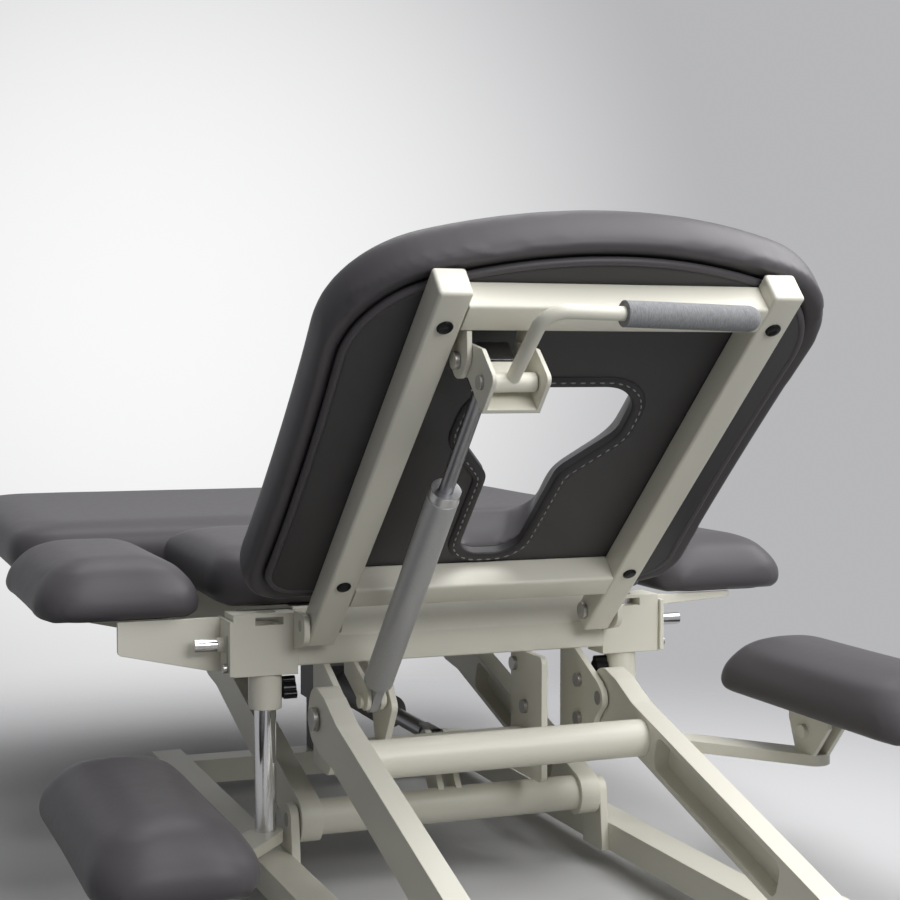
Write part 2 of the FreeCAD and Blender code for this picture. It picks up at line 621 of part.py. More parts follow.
def hangers():
    """Hanger plates, the tie bar between them, bolts and upper pivot pins."""
    low = s.seat_under - s.beam_height
    foot = -s.tie_drop
    back = s.beam_front + s.beam_depth
    round_off = s.lug_radius
    p = front_upper
    front_plate = [(back, low), (s.beam_front, low), (p.y, p.z + round_off, round_off),
                   (p.y - 1.2 * round_off, p.z, round_off * 0.8), (p.y, p.z - round_off, round_off),
                   (s.beam_front / 3, foot, s.pin_radius), (back, foot, s.pin_radius)]
    r = rear_upper
    rail_low = s.seat_under - s.frame_tube
    wide = 2 * round_off
    rear_low = r.z - round_off
    rear_plate = [(r.y - wide, rail_low), (r.y - wide, rear_low, round_off),
                  (r.y + wide, rear_low, round_off), (r.y + 1.5 * wide, rail_low)]
    tie_top = foot + s.tube_side
    mid_z = (low + tie_top) / 2
    tie_back = s.tie_front + s.tube_side
    short_plate = [(back, low), (s.beam_front / 2, low), (-s.beam_front, mid_z, s.torsion_radius / 2),
                   (s.tie_front, tie_top), (tie_back, tie_top)]
    tall_plate = [(back, low), (-s.beam_front, low, s.bolt_head), (-s.beam_front, -s.plate_drop, s.bolt_head),
                  (back, -s.plate_drop, s.bolt_head)]
    edge = back - s.bolt_head * 1.5
    first = (edge, low - s.lug_radius)
    tall = low + s.plate_drop
    short_spots = (first, (s.beam_front * 0.3, mid_z), (s.beam_front, tie_top + s.bolt_head * 1.8))
    tall_spots = (first, (s.beam_front * 0.9, low - tall * 0.44), (edge, low - tall * 0.7))
    middle_plates = {"left": (short_plate, short_spots), "right": (tall_plate, tall_spots)}
    near = s.arm_inner - s.arm_gap - s.hanger_thick
    plates = []
    pins = []
    bolts = []
    for side, sign in SIDES:
        for end, pivot, points in (("front", front_upper, front_plate), ("rear", rear_upper, rear_plate)):
            name = f"{side}_{end}"
            plate_x = flank_at(sign, near, s.hanger_thick)
            blank = plate("hanger_blank_" + name, "YZ", points, "hanger_thick", (plate_x, 0, 0))
            length = "arm_width+2*arm_gap+hanger_thick"
            start = "arm_inner-arm_gap-hanger_thick"
            at = (flank(sign, start, length), pivot.y, pivot.z)
            bore = rod("hanger_bore_" + name, "pivot_radius+fit_gap", length, at)
            plates.append(cut("hanger_" + name, blank, [bore]))
            head_at = (flank(sign, f"{start}+{length}", "head_thick"), pivot.y, pivot.z)
            shank = rod("top_shank_" + name, "pivot_radius", length, at)
            head = rod("top_pin_head_" + name, "pin_head", "head_thick", head_at)
            pins.append(join("top_pin_" + name, [shank, head]))
        inner_face = f"{sign}*(arm_inner-arm_gap-hanger_thick)"
        for count, z in enumerate((front_upper.z + 0.4 * s.arm_head, front_upper.z - s.arm_head)):
            bolts.append(bolt(f"hanger_bolt_{side}_{count}", (inner_face, s.beam_front / 2, z), -sign))
        start = flank_at(sign, s.middle_near, s.hanger_thick)
        points, spots = middle_plates[side]
        plates.append(plate("middle_plate_" + side, "YZ", points, "hanger_thick", (start, 0, 0)))
        middle_face = f"{sign}*middle_near"
        for count, (y, z) in enumerate(spots):
            bolts.append(bolt(f"middle_bolt_{side}_{count}", (middle_face, y, z), -sign))
    return plates, bolts + pins


def section_hinges():
    """Lugs and pins that the head section and the leg section turn on."""
    lugs = []
    pins = []
    under = s.seat_under - 2 * s.air_gap
    for side, sign in SIDES:
        near = s.rail_centre + s.tube_side / 2 + s.arm_gap
        points = [(-s.lug_radius, -s.lug_radius, s.lug_radius * 0.9), (s.beam_front, -s.lug_radius * 1.6),
                  (s.beam_front, under), (-s.lug_radius, under, s.lug_radius * 0.7)]
        start = flank_at(sign, near, s.lug_thick)
        blank = plate("head_lug_blank_" + side, "YZ", points, "lug_thick", (start, 0, 0))
        length = "tube_side+arm_gap+lug_thick+head_thick"
        first = "rail_centre-tube_side/2-head_thick"
        at = (flank(sign, first, length), 0, 0)
        bore = rod("head_lug_bore_" + side, "pin_radius+fit_gap", length, at)
        lugs.append(cut("head_lug_" + side, blank, [bore]))
        shank = rod("head_pin_" + side, "pin_radius", length, at)
        tip_at = (flank(sign, first + "-fit_gap", "head_thick-air_gap"), 0, 0)
        tip = rod("head_pin_tip_" + side, "pin_radius*1.5", "head_thick-air_gap", tip_at)
        pins.append(join("head_hinge_pin_" + side, [shank, tip]))

        near = s.leg_rail_centre + s.tube_side / 2 + s.arm_gap
        axis_y = s.seat_back + s.section_gap / 2
        back = s.seat_back - s.section_gap
        end_y = axis_y + s.lug_radius * 0.7
        lug_top = s.seat_under - s.arm_gap
        points = [(back, -s.lug_radius), (end_y, -s.lug_radius, s.bolt_head), (end_y, lug_top, s.bolt_head),
                  (back, lug_top)]
        start = flank_at(sign, near, s.lug_thick)
        blank = plate("leg_lug_blank_" + side, "YZ", points, "lug_thick", (start, 0, 0))
        length = "tube_side+arm_gap+lug_thick"
        first = "leg_rail_centre-tube_side/2"
        at = (flank(sign, first, length), axis_y, 0)
        bore = rod("leg_lug_bore_" + side, "leg_pin_radius+fit_gap", length, at)
        lugs.append(cut("leg_lug_" + side, blank, [bore]))
        pins.append(rod("leg_hinge_pin_" + side, "leg_pin_radius", length, at))
    node("hinge_pins", pins, in_top)
    return lugs


def side_brackets():
    """Brackets beside the seat: the front one holds the post's sleeve, the rear one guides the side pad."""
    post_y = s.beam_front + s.beam_depth / 2
    bolts = []
    for side, sign in SIDES:
        wide = "bracket_outer-beam_half"
        tall = "bracket_height"
        low = "bracket_top-bracket_height"
        x = flank(sign, "beam_half", wide)
        front = box("bracket_front_" + side, (wide, "beam_depth", tall), (x, "beam_front", low))
        centre = f"{sign}*post_centre"
        sleeve_at = (centre, post_y, f"{low}-sleeve_length")
        sleeve = rod("sleeve_" + side, "sleeve_radius", "sleeve_length", sleeve_at, "Z")
        bore = rod("sleeve_bore_" + side, "post_radius+fit_gap", f"sleeve_length+{tall}", sleeve_at, "Z")
        hole_x = flank(sign, "post_centre-sleeve_radius", "sleeve_radius")
        knob_hole = rod("knob_hole_" + side, "post_radius/3+fit_gap", "sleeve_radius",
                        (hole_x, post_y, f"{low}-sleeve_length/2"))
        window = box("bracket_window_" + side, ("post_radius*2.6", "beam_depth", "post_radius*0.7"),
                     (f"{centre}-post_radius*1.3", "beam_front", "bracket_top-post_radius"))
        rear_y = rear_pad_y()
        rear = box("bracket_rear_" + side, (wide, "beam_depth", tall), (x, rear_y, low))
        blank = join("bracket_blank_" + side, [front, sleeve])
        front_whole = cut("bracket_" + side, blank, [bore, knob_hole, window])
        node("side_bracket_" + side, [front_whole, rear], in_top)
        for end, y in (("front", s.beam_front), ("rear", rear_y)):
            guide_y, guide_z = guide_spot(y)
            shank_length = "2*air_gap+carrier_thick"
            shank = rod(f"guide_shank_{side}_{end}", "guide_radius", shank_length,
                        (flank(sign, "bracket_outer", shank_length), guide_y, guide_z))
            head = rod(f"guide_head_{side}_{end}", "guide_head", "head_thick",
                       (flank(sign, f"bracket_outer+{shank_length}", "head_thick"), guide_y, guide_z))
            bolts.append(join(f"guide_bolt_{side}_{end}", [shank, head]))
    return bolts


def rear_pad_y():
    """Front face of the rear side bracket."""
    return s.side_front + s.side_length - 2 * s.beam_depth


def guide_spot(bracket_y):
    """Y and Z of the bolt that guides a side pad's carrier on a bracket."""
    return bracket_y + s.guide_inset, s.bracket_top - s.bracket_height + s.guide_rise


def gas_bracket():
    """Two cheeks under the front beam that take the foot of the gas spring."""
    low = s.seat_under - s.beam_height
    foot = V(0, -s.gas_ahead, -s.gas_below)
    r = s.lug_radius
    inset = 2 * s.arm_gap
    back = s.beam_front + s.beam_depth - inset
    points = [(back, low), (s.beam_front + inset, low), (foot.y - r, foot.z + r, r * 0.8),
              (foot.y - r, foot.z - r, r * 0.8), (back, low - r)]
    cheeks = []
    for side, sign in SIDES:
        near = s.cheek_gap / 2
        start = s.ear_centre + flank_at(sign, near, s.ear_thick)
        cheek = plate("gas_cheek_" + side, "YZ", points, "ear_thick", (start, 0, 0))
        head_at = (f"ear_centre+({flank(sign, 'cheek_gap/2+ear_thick', 'head_thick')})", foot.y, foot.z)
        head = rod("gas_bolt_" + side, "bolt_head", "head_thick", head_at)
        cheeks.append(join("gas_cheek_bolted_" + side, [cheek, head]))
    node("gas_bracket", cheeks, in_top)


def along_rails(distance):
    """Head frame Y of a place measured from the foot of the head rails."""
    return s.rail_foot - distance


def cushioned(labels, plan, under, thick, bulge, frame, radius=s.corner_radius, rise=PAD_RISE, hole=None):
    """A board and the crowned cushion that sits over it; the plan is lowest and highest X, then Y."""
    board_label, cushion_label = labels
    board = board_solid(*plan, under, s.board_thick, radius, bulge, s.board_inset)
    lift_off = s.board_thick - s.board_sink
    pad = pad_solid(*plan, under + lift_off, thick, radius, bulge, rise)
    pocket = board_solid(*plan, under, s.board_thick + s.fit_gap, radius, bulge, s.board_inset - s.air_gap)
    pad = pad.cut(pocket)
    if hole is not None:
        straight, flared = hole
        pad = pad.cut(flared)
        board = board.cut(straight)
    formed(board_label, board, frame)
    formed(cushion_label, pad, frame)


def keyhole(share, level):
    """Outline of the face hole at a level: wide at the top, narrow below, flared by a share of the flare."""
    low = along_rails(s.hole_low)
    high = along_rails(s.hole_high)
    length = low - high
    wide = s.hole_half + share * s.hole_flare
    neck = s.hole_neck
    spread = share * s.hole_flare
    down = share * s.hole_slant
    right = [(neck * 0.83 + spread, low, neck * 0.65),
             (neck * 0.96 + spread, low - length * 0.5 + down, neck * 0.8),
             (wide, low - length * 0.72 + down, neck * 0.8), (wide, high, s.hole_half * 0.5)]
    points = right + [(-x, y, radius) for x, y, radius in reversed(right)]
    ring = Part.Wire([edge.toShape() for edge in rounded(points)])
    ring.translate(V(0, 0, level))
    return ring


def face_hole():
    """The face hole through the board, and the one through the cushion that widens towards its face."""
    straight = Part.Face(keyhole(0, 0)).extrude(V(0, 0, 4 * s.cushion_thick))
    under = s.tube_side / 2
    top = under + s.board_thick + s.cushion_thick
    flared = Part.makeLoft([keyhole(0, under), keyhole(1, top)], True, True)
    return straight, flared


def head_section():
    """Head frame of square tube, its caps and plugs, board, cushion and the ears of the release gear."""
    half = "tube_side/2"
    top_end = "rail_foot-rail_length"
    caps = []
    plugs = []
    for side, sign in SIDES:
        x = flank(sign, f"rail_centre-{half}", "tube_side")
        extent = ("tube_side", "rail_length", "tube_side")
        tube = square_tube("head_tube_" + side, extent, (x, top_end, "-" + half), 1)
        bore = rod("head_bore_" + side, "pin_radius+fit_gap", "tube_side", (x, 0, 0))
        node("head_rail_" + side, [cut("head_rail_bored_" + side, tube, [bore])], in_head)
        cap_at = (x, f"{top_end}-cap_thick", "-" + half)
        caps.append(box("rail_cap_" + side, ("tube_side", "cap_thick", "tube_side"), cap_at))
        for level, distance in (("low", "plug_low"), ("high", "plug_high")):
            plug_at = (f"{sign}*rail_centre", f"rail_foot-{distance}", f"-{half}-plug_rise")
            plugs.append(rod(f"rail_plug_{side}_{level}", "plug_radius", "plug_rise", plug_at, "Z"))
    node("rail_caps", caps, in_head)
    node("rail_plugs", plugs, in_head)
    wide = f"2*(rail_centre-{half})"
    crosses = []
    for level in ("upper", "lower"):
        at = (f"{half}-rail_centre", f"rail_foot-{level}_cross-tube_side", "-" + half)
        crosses.append(square_tube("cross_tube_" + level, (wide, "tube_side", "tube_side"), at, 0))
    node("head_cross_tubes", crosses, in_head)
    corners = (-s.cushion_half, s.cushion_half, along_rails(s.head_high), along_rails(s.head_low))
    bulge = (s.head_arch, -s.side_draw, -s.side_draw, -s.side_draw)
    labels = ("head_board", "head_cushion")
    under = s.tube_side / 2
    cushioned(labels, corners, under, s.cushion_thick, bulge, in_head, s.head_corner, hole=face_hole())

    # Ears on the upper cross tube
    y = along_rails(s.ear_place)
    z = -s.tube_side / 2 - s.ear_depth
    r = s.ear_radius
    tube_face = along_rails(s.upper_cross)
    points = [(tube_face, s.tube_side * 0.4), (tube_face, -s.tube_side / 2), (y - r, z - r, r * 0.8),
              (y + r, z - r, r * 0.95), (y + r, z + r, r * 0.95)]
    ears = []
    for side, sign in SIDES:
        start = s.ear_centre + flank_at(sign, s.ear_gap / 2, s.ear_thick)
        blank = plate("ear_blank_" + side, "YZ", points, "ear_thick", (start, 0, 0))
        bore = rod("ear_bore_" + side, "shaft_radius+fit_gap", "ear_thick", (start, y, z))
        ears.append(cut("ear_" + side, blank, [bore]))
    node("ear_plates", ears, in_head)


def yoke():
    """Yoke on the ears: its bracket, shaft and the lever's pin."""
    r = s.shaft_radius * 2.2
    reach = -s.yoke_reach
    points = [(r, -r, r * 0.9), (r, r, r * 0.9), (reach * 0.4, s.yoke_rise, r * 0.6),
              (reach, s.yoke_rise, r * 0.6), (reach, -s.yoke_wall), (-1.5 * r, -s.yoke_wall),
              (-0.7 * r, -r, r * 0.3)]
    outer = s.ear_gap / 2 - s.air_gap
    pieces = []
    for side, sign in SIDES:
        start = flank_at(sign, outer - s.yoke_wall, s.yoke_wall)
        pieces.append(plate("yoke_side_" + side, "YZ", points, "yoke_wall", (start, 0, 0)))
    floor_at = (-outer, reach, "-yoke_wall")
    pieces.append(box("yoke_back", (2 * outer, -reach - 1.6 * r, "yoke_wall"), floor_at))
    wide = 2 * outer
    tools = [rod("yoke_shaft_bore", "shaft_radius+fit_gap", wide, (-outer, 0, 0)),
             rod("yoke_pin_bore", "barrel_radius*0.45+fit_gap", wide, (-outer, "-barrel_out", "barrel_up"))]
    node("yoke_bracket", [cut("yoke_plates", join("yoke_blank", pieces), tools)], in_yoke)

    shaft_half = s.ear_gap / 2 + s.ear_thick + s.air_gap
    shaft = [rod("yoke_shaft_bar", "shaft_radius", 2 * shaft_half, (-shaft_half, 0, 0))]
    pin_half = outer + s.fit_gap
    pin = [rod("lever_pin_bar", "barrel_radius*0.45", 2 * pin_half, (-pin_half, "-barrel_out", "barrel_up"))]
    for side, sign in SIDES:
        at = flank_at(sign, shaft_half, s.head_thick)
        shaft.append(rod("yoke_shaft_head_" + side, "bolt_head", "head_thick", (at, 0, 0)))
        at = flank_at(sign, pin_half, s.head_thick * 0.7)
        head_at = (at, "-barrel_out", "barrel_up")
        pin.append(rod("lever_pin_head_" + side, "barrel_radius*0.75", "head_thick*0.7", head_at))
    node("yoke_shaft", [join("yoke_shaft_whole", shaft), join("lever_pin", pin)], in_yoke)


def bent_rod(name, radius, rise, bend, run, droop):
    """A rod that goes up Z, bends towards X and runs on with a slight droop."""
    turn = math.radians(90 + droop)
    corner = rise - bend
    centre = V(bend, corner, 0)

    def on_bend(angle):
        return centre + V(-math.cos(angle), math.sin(angle), 0) * bend

    start = on_bend(turn)
    end = start + V(math.sin(turn), math.cos(turn), 0) * (run - bend)
    path = doc.addObject("Sketcher::SketchObject", name + "_path")
    path.Placement = FreeCAD.Placement(V(), SKETCH_TURN["XZ"])
    path.addGeometry([Part.LineSegment(V(), on_bend(0)), Part.Arc(on_bend(0), on_bend(turn / 2), start),
                      Part.LineSegment(start, end)])
    ring = bind(doc.addObject("Part::Circle", name + "_ring"), Radius=radius)
    sweep = doc.addObject("Part::Sweep", name)
    sweep.Sections = [ring]
    sweep.Spine = (path, ["Edge1", "Edge2", "Edge3"])
    sweep.Solid = True
    return sweep, end


def lever():
    """Release lever: barrel on its pin, bent rod, tab and foam grip."""
    half = s.ear_gap / 2 - s.yoke_wall - s.arm_gap
    run = s.lever_run - s.grip_radius
    stem, end = bent_rod("lever_rod", "lever_radius", s.lever_rise, s.lever_bend, run, s.lever_droop)
    barrel = rod("lever_barrel", "barrel_radius", 2 * half, (-half, 0, 0))
    tab_long = s.barrel_out * 0.6
    tab_size = ("barrel_radius*3.2", tab_long, "yoke_wall")
    tab = box("lever_tab", tab_size, ("-barrel_radius*1.6", 0, "-barrel_radius"))
    bore = rod("lever_bore", "barrel_radius*0.45+fit_gap", 2 * half, (-half, 0, 0))
    node("lever_arm", [cut("lever_bored", join("lever_blank", [stem, barrel, tab]), [bore])], in_lever)

    # Grip: a sleeve over the outer end with a rounded tip
    droop = math.radians(s.lever_droop)
    run_way = V(math.cos(droop), 0, -math.sin(droop))
    tip = V(end.x, 0, end.y)
    start = tip + run_way * (s.grip_radius - s.grip_length)
    sleeve = doc.addObject("Part::Cylinder", "grip_sleeve")
    ball = doc.addObject("Part::Sphere", "grip_tip")
    hollow = doc.addObject("Part::Cylinder", "grip_hollow")
    turned = FreeCAD.Rotation(V(0, 0, 1), run_way)
    sleeve.Placement = FreeCAD.Placement(start, turned)
    hollow.Placement = FreeCAD.Placement(start, turned)
    ball.Placement = FreeCAD.Placement(tip, turned)
    bind(sleeve, Radius="grip_radius", Height="grip_length-grip_radius")
    bind(hollow, Radius="lever_radius+fit_gap", Height="grip_length-grip_radius")
    bind(ball, Radius="grip_radius")
    node("lever_grip", [cut("grip_body", join("grip_blank", [sleeve, ball]), [hollow])], in_lever)


def gas_spring():
    """Gas spring: block, rod and piston on the yoke's shaft; cylinder, guide ring and foot below."""
    block_half = s.gas_tube_radius
    deep = s.barrel_radius * 1.3
    block_low = "-gas_rod_radius*3.8"
    block_size = (2 * block_half, 2 * deep, f"{deep}+gas_rod_radius*3.8")
    block = box("gas_block", block_size, (-block_half, -deep, block_low))
    rod_length = s.gas_rod_shown + s.gas_stroke
    piston_long = s.gas_rod_radius
    stem = rod("gas_stem", "gas_rod_radius", rod_length, (0, 0, -rod_length), "Z")
    piston_at = (0, 0, -rod_length - piston_long)
    piston = rod("gas_piston", "gas_tube_radius*0.8-fit_gap", piston_long, piston_at, "Z")
    bore = rod("gas_block_bore", "shaft_radius+fit_gap", 2 * block_half, (-block_half, 0, 0))
    node("gas_rod", [cut("gas_rod_bored", join("gas_rod_blank", [block, stem, piston]), [bore])], in_yoke)

    foot_rise = 2.2 * s.gas_tube_radius
    length = gas_span - foot_rise - s.gas_rod_shown
    tube = rod("gas_tube", "gas_tube_radius", length, (0, 0, foot_rise - gas_span), "Z")
    r = s.gas_tube_radius * 0.8
    tongue_top = foot_rise - gas_span + s.air_gap
    points = [(-r, tongue_top), (-r, -gas_span - r, r * 0.95), (r, -gas_span - r, r * 0.95), (r, tongue_top)]
    tongue = plate("gas_tongue", "YZ", points, "gas_foot", (-s.gas_foot / 2, 0, 0))
    hollow_long = s.gas_stroke + s.gas_reserve
    hollow_at = (0, 0, -s.gas_rod_shown - hollow_long)
    hollow = rod("gas_hollow", "gas_tube_radius*0.8", hollow_long, hollow_at, "Z")
    blank = join("gas_tube_blank", [tube, tongue])
    node("gas_cylinder", [cut("gas_tube_hollow", blank, [hollow])], in_yoke)
    ring_tall = s.gas_rod_radius * 1.6
    ring = rod("guide_ring_blank", "gas_tube_radius*0.94", ring_tall, (0, 0, -s.gas_rod_shown), "Z")
    ring_bore = rod("guide_ring_bore", "gas_rod_radius+fit_gap", ring_tall, (0, 0, -s.gas_rod_shown), "Z")
    node("guide_ring", [cut("guide_ring_turned", ring, [ring_bore])], in_yoke)


def seat_and_leg():
    """Seat cushion, and the leg section with its rails and cushion."""
    drawn = (-s.side_draw, -s.side_draw, -s.side_draw, -s.side_draw)
    corners = (-s.seat_half, s.seat_half, s.seat_front, s.seat_back)
    cushioned(("seat_board", "seat_cushion"), corners, s.seat_under, s.cushion_thick, drawn, in_top)
    rails = []
    axis_y = s.seat_back + s.section_gap / 2
    start = axis_y - s.tube_side * 0.35
    under = "seat_under+air_gap-tube_side"
    for side, sign in SIDES:
        x = flank(sign, "leg_rail_centre-tube_side/2", "tube_side")
        extent = ("tube_side", f"rear_reach-board_inset-{start}", "tube_side")
        tube = square_tube("leg_tube_" + side, extent, (x, start, under), 1)
        bore = rod("leg_bore_" + side, "leg_pin_radius+fit_gap", "tube_side", (x, axis_y, 0))
        rails.append(cut("leg_rail_" + side, tube, [bore]))
    node("leg_rails", rails, in_top)
    corners = (-s.leg_half, s.leg_half, s.seat_back + s.section_gap, s.rear_reach)
    leg_under = s.seat_under + s.air_gap
    cushioned(("leg_board", "leg_cushion"), corners, leg_under, s.cushion_thick, drawn, in_top)


# The small pads have less bow than the main cushions
SMALL_BOW = (-s.side_draw / 2,) * 4


def carrier(name, sign, bracket_y):
    """A slotted plate that slides on a bracket's guide bolt, with the gusset under the pad."""
    low = s.bracket_top - s.bracket_height + s.arm_gap
    inner_x = s.bracket_outer + s.air_gap
    plate_x = flank_at(sign, inner_x, s.carrier_thick)
    size = ("carrier_thick", "carrier_length", f"side_under-({low})")
    blank = box("carrier_plate_" + name, size, (plate_x, bracket_y - s.carrier_thick, low))
    guide_y, guide_z = guide_spot(bracket_y)
    half = s.guide_radius + 3 * s.fit_gap
    top = guide_z + s.side_travel + half
    round_off = half * 0.85
    slot = [(guide_y - half, guide_z - half, round_off), (guide_y + half, guide_z - half, round_off),
            (guide_y + half, top, round_off), (guide_y - half, top, round_off)]
    tool = plate("carrier_slot_" + name, "YZ", slot, "carrier_thick", (plate_x, 0, 0))
    slotted = cut("carrier_slotted_" + name, blank, [tool])
    root_x = inner_x + s.carrier_thick
    tip_x = root_x + s.gusset_reach
    root_z = low if sign < 0 else s.side_under - s.slim_root
    end_z = s.side_under - (s.gusset_end if sign < 0 else s.slim_end)
    gusset = [(sign * root_x, s.side_under), (sign * root_x, root_z), (sign * (root_x + s.gas_foot), root_z),
              (sign * tip_x, end_z, s.carrier_thick), (sign * tip_x, s.side_under)]
    gusset_at = (0, bracket_y + s.carrier_length - 2.5 * s.carrier_thick, 0)
    web = plate("carrier_gusset_" + name, "XZ", gusset, "carrier_thick", gusset_at)
    return join("carrier_" + name, [slotted, web])


def side_pads():
    """Side pads on slotted carriers, each with a spring plunger."""
    plunger_y = s.beam_front + s.beam_depth * 0.56
    plunger_z = s.side_under - s.bracket_height * 0.41
    near = "bracket_outer+air_gap"
    boss_near = near + "+carrier_thick"
    hole_long = "carrier_thick+boss_length"
    for side, sign in SIDES:
        front = carrier(side + "_front", sign, s.beam_front)
        rear = carrier(side + "_rear", sign, rear_pad_y())
        boss_at = (flank(sign, boss_near, "boss_length"), plunger_y, plunger_z)
        boss = rod("plunger_boss_" + side, "plunger_radius+arm_gap/2", "boss_length", boss_at)
        hole_at = (flank(sign, near, hole_long), plunger_y, plunger_z)
        hole = rod("plunger_hole_" + side, "plunger_radius/2+fit_gap", hole_long, hole_at)
        bored = cut("carrier_bored_" + side, join("carrier_bossed_" + side, [front, boss]), [hole])
        node("side_carrier_" + side, [bored, rear], in_top)
        knob_x = flank(sign, boss_near + "+boss_length+fit_gap", "plunger_length")
        knob = rod("plunger_knob_" + side, "plunger_radius", "plunger_length", (knob_x, plunger_y, plunger_z))
        stem_x = flank(sign, near, hole_long + "+fit_gap")
        stem = rod("plunger_stem_" + side, "plunger_radius/2", hole_long + "+fit_gap",
                   (stem_x, plunger_y, plunger_z))
        node("plunger_" + side, [join("plunger_whole_" + side, [knob, stem])], in_top)
        low_x = flank_at(sign, s.side_inner, s.side_width)
        corners = (low_x, low_x + s.side_width, s.side_front, s.side_front + s.side_length)
        labels = ("side_board_" + side, "side_cushion_" + side)
        cushioned(labels, corners, s.side_under, s.side_thick, SMALL_BOW, in_top, s.pad_corner, DOME_RISE)


def drop_pads():
    """Low pads on posts that slide in the brackets' sleeves; the left twin rests lowered."""
    post_y = s.beam_front + s.beam_depth / 2
    for side, sign in SIDES:
        drop = 0 if sign > 0 else s.drop_travel
        frame = FreeCAD.Placement(hinge - V(0, 0, drop), FreeCAD.Rotation())
        foot_z = s.post_top - s.post_length
        post_at = (f"{sign}*post_centre", post_y, foot_z)
        post = rod("drop_post_bar_" + side, "post_radius", "post_length", post_at, "Z")
        node("drop_post_" + side, [post], frame)
        pad_x = s.drop_inner + s.board_inset + s.swing_width * 0.7
        pad_mid = V(sign * pad_x, s.drop_rear - s.drop_length * 0.42, 0)
        start = V(sign * s.post_centre, post_y, 0)
        way = (pad_mid - start).normalize()
        across = V(-way.y, way.x, 0) * (s.swing_width / 2)
        first = start - way * (s.swing_width / 2)
        last = pad_mid + way * (s.swing_width / 2)
        corner_round = s.swing_width * 0.45
        spots = (first - across, last - across, last + across, first + across)
        points = [(spot.x, spot.y, corner_round) for spot in spots]
        bar = plate("drop_bar_" + side, "XY", points, "swing_bar", (0, 0, foot_z - s.swing_bar))
        pieces = [bar]
        under = -s.drop_under - s.board_thick + s.board_sink
        half = s.swing_width * 0.48
        front = pad_mid.y - s.swing_width * 1.3
        back = pad_mid.y + s.swing_width * 0.87
        root = foot_z - 2 * s.air_gap
        lip = under - s.swing_bar
        riser = [(pad_mid.y - half, root), (pad_mid.y + half, root), (back, lip), (back, under),
                 (front, under), (front, lip)]
        spread = s.swing_width * 0.3
        for place_name, offset in (("inner", -spread), ("outer", spread - s.carrier_thick)):
            riser_at = (pad_mid.x + offset, 0, 0)
            pieces.append(plate(f"drop_riser_{side}_{place_name}", "YZ", riser, "carrier_thick", riser_at))
        bolt_half = spread + s.head_thick
        bolt_at = (pad_mid.x - bolt_half, pad_mid.y, (foot_z + under) / 2)
        pieces.append(rod("drop_bolt_" + side, "bolt_head", 2 * bolt_half, bolt_at))
        node("drop_arm_" + side, [join("drop_arm_whole_" + side, pieces)], frame)
        low_x = flank_at(sign, s.drop_inner, s.drop_width)
        corners = (low_x, low_x + s.drop_width, s.drop_rear - s.drop_length, s.drop_rear)
        labels = ("drop_board_" + side, "drop_cushion_" + side)
        cushioned(labels, corners, under, s.drop_thick, SMALL_BOW, frame, s.pad_corner, DOME_RISE)

        # Clamp knob on the inner side of the sleeve
        knob_z = s.bracket_top - s.bracket_height - s.sleeve_length / 2
        knob_deep = s.post_radius * 1.2
        back_x = s.post_centre - s.sleeve_radius - s.air_gap - knob_deep
        stem_long = s.post_centre - s.post_radius - s.air_gap - back_x
        stem_at = (flank_at(sign, back_x, stem_long), post_y, knob_z)
        knob_x = flank_at(sign, back_x, knob_deep)
        lobes = [rod("knob_stem_" + side, "post_radius/3", stem_long, stem_at),
                 rod("knob_core_" + side, "post_radius*0.8", knob_deep, (knob_x, post_y, knob_z))]
        for count in range(3):
            angle = math.radians(90 + 120 * count)
            lobe_y = post_y + math.cos(angle) * s.post_radius * 0.8
            lobe_z = knob_z + math.sin(angle) * s.post_radius * 0.8
            lobe_at = (knob_x, lobe_y, lobe_z)
            lobes.append(rod(f"knob_lobe_{side}_{count}", "post_radius*0.4", knob_deep, lobe_at))
        node("clamp_knob_" + side, [join("clamp_knob_whole_" + side, lobes)], in_top)


base_frame()
lift()
top_frame()
plates, fixings = hangers()
node("frame_plates", plates + section_hinges(), in_top)
node("frame_bolts", fixings + side_brackets(), in_top)
gas_bracket()
seat_and_leg()
head_section()
yoke()
lever()
gas_spring()
side_pads()
drop_pads()
doc.recompute()

# Stop if anything failed, then write one file per sub-part
failed = [thing.Label for thing in doc.Objects if {"Invalid", "Error"} & set(thing.State)]
failed += [group.Label for group in nodes if group.Shape.isNull() or not group.Shape.isValid()]
if failed:
    raise RuntimeError("did not build: " + ", ".join(failed))
os.makedirs("parts", exist_ok=True)
for group in nodes:
    group.Shape.exportStep(f"parts/{group.Label}.step")
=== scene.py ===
import math

import bmesh
import bpy
from mathutils import Matrix, Vector
from mathutils.kdtree import KDTree


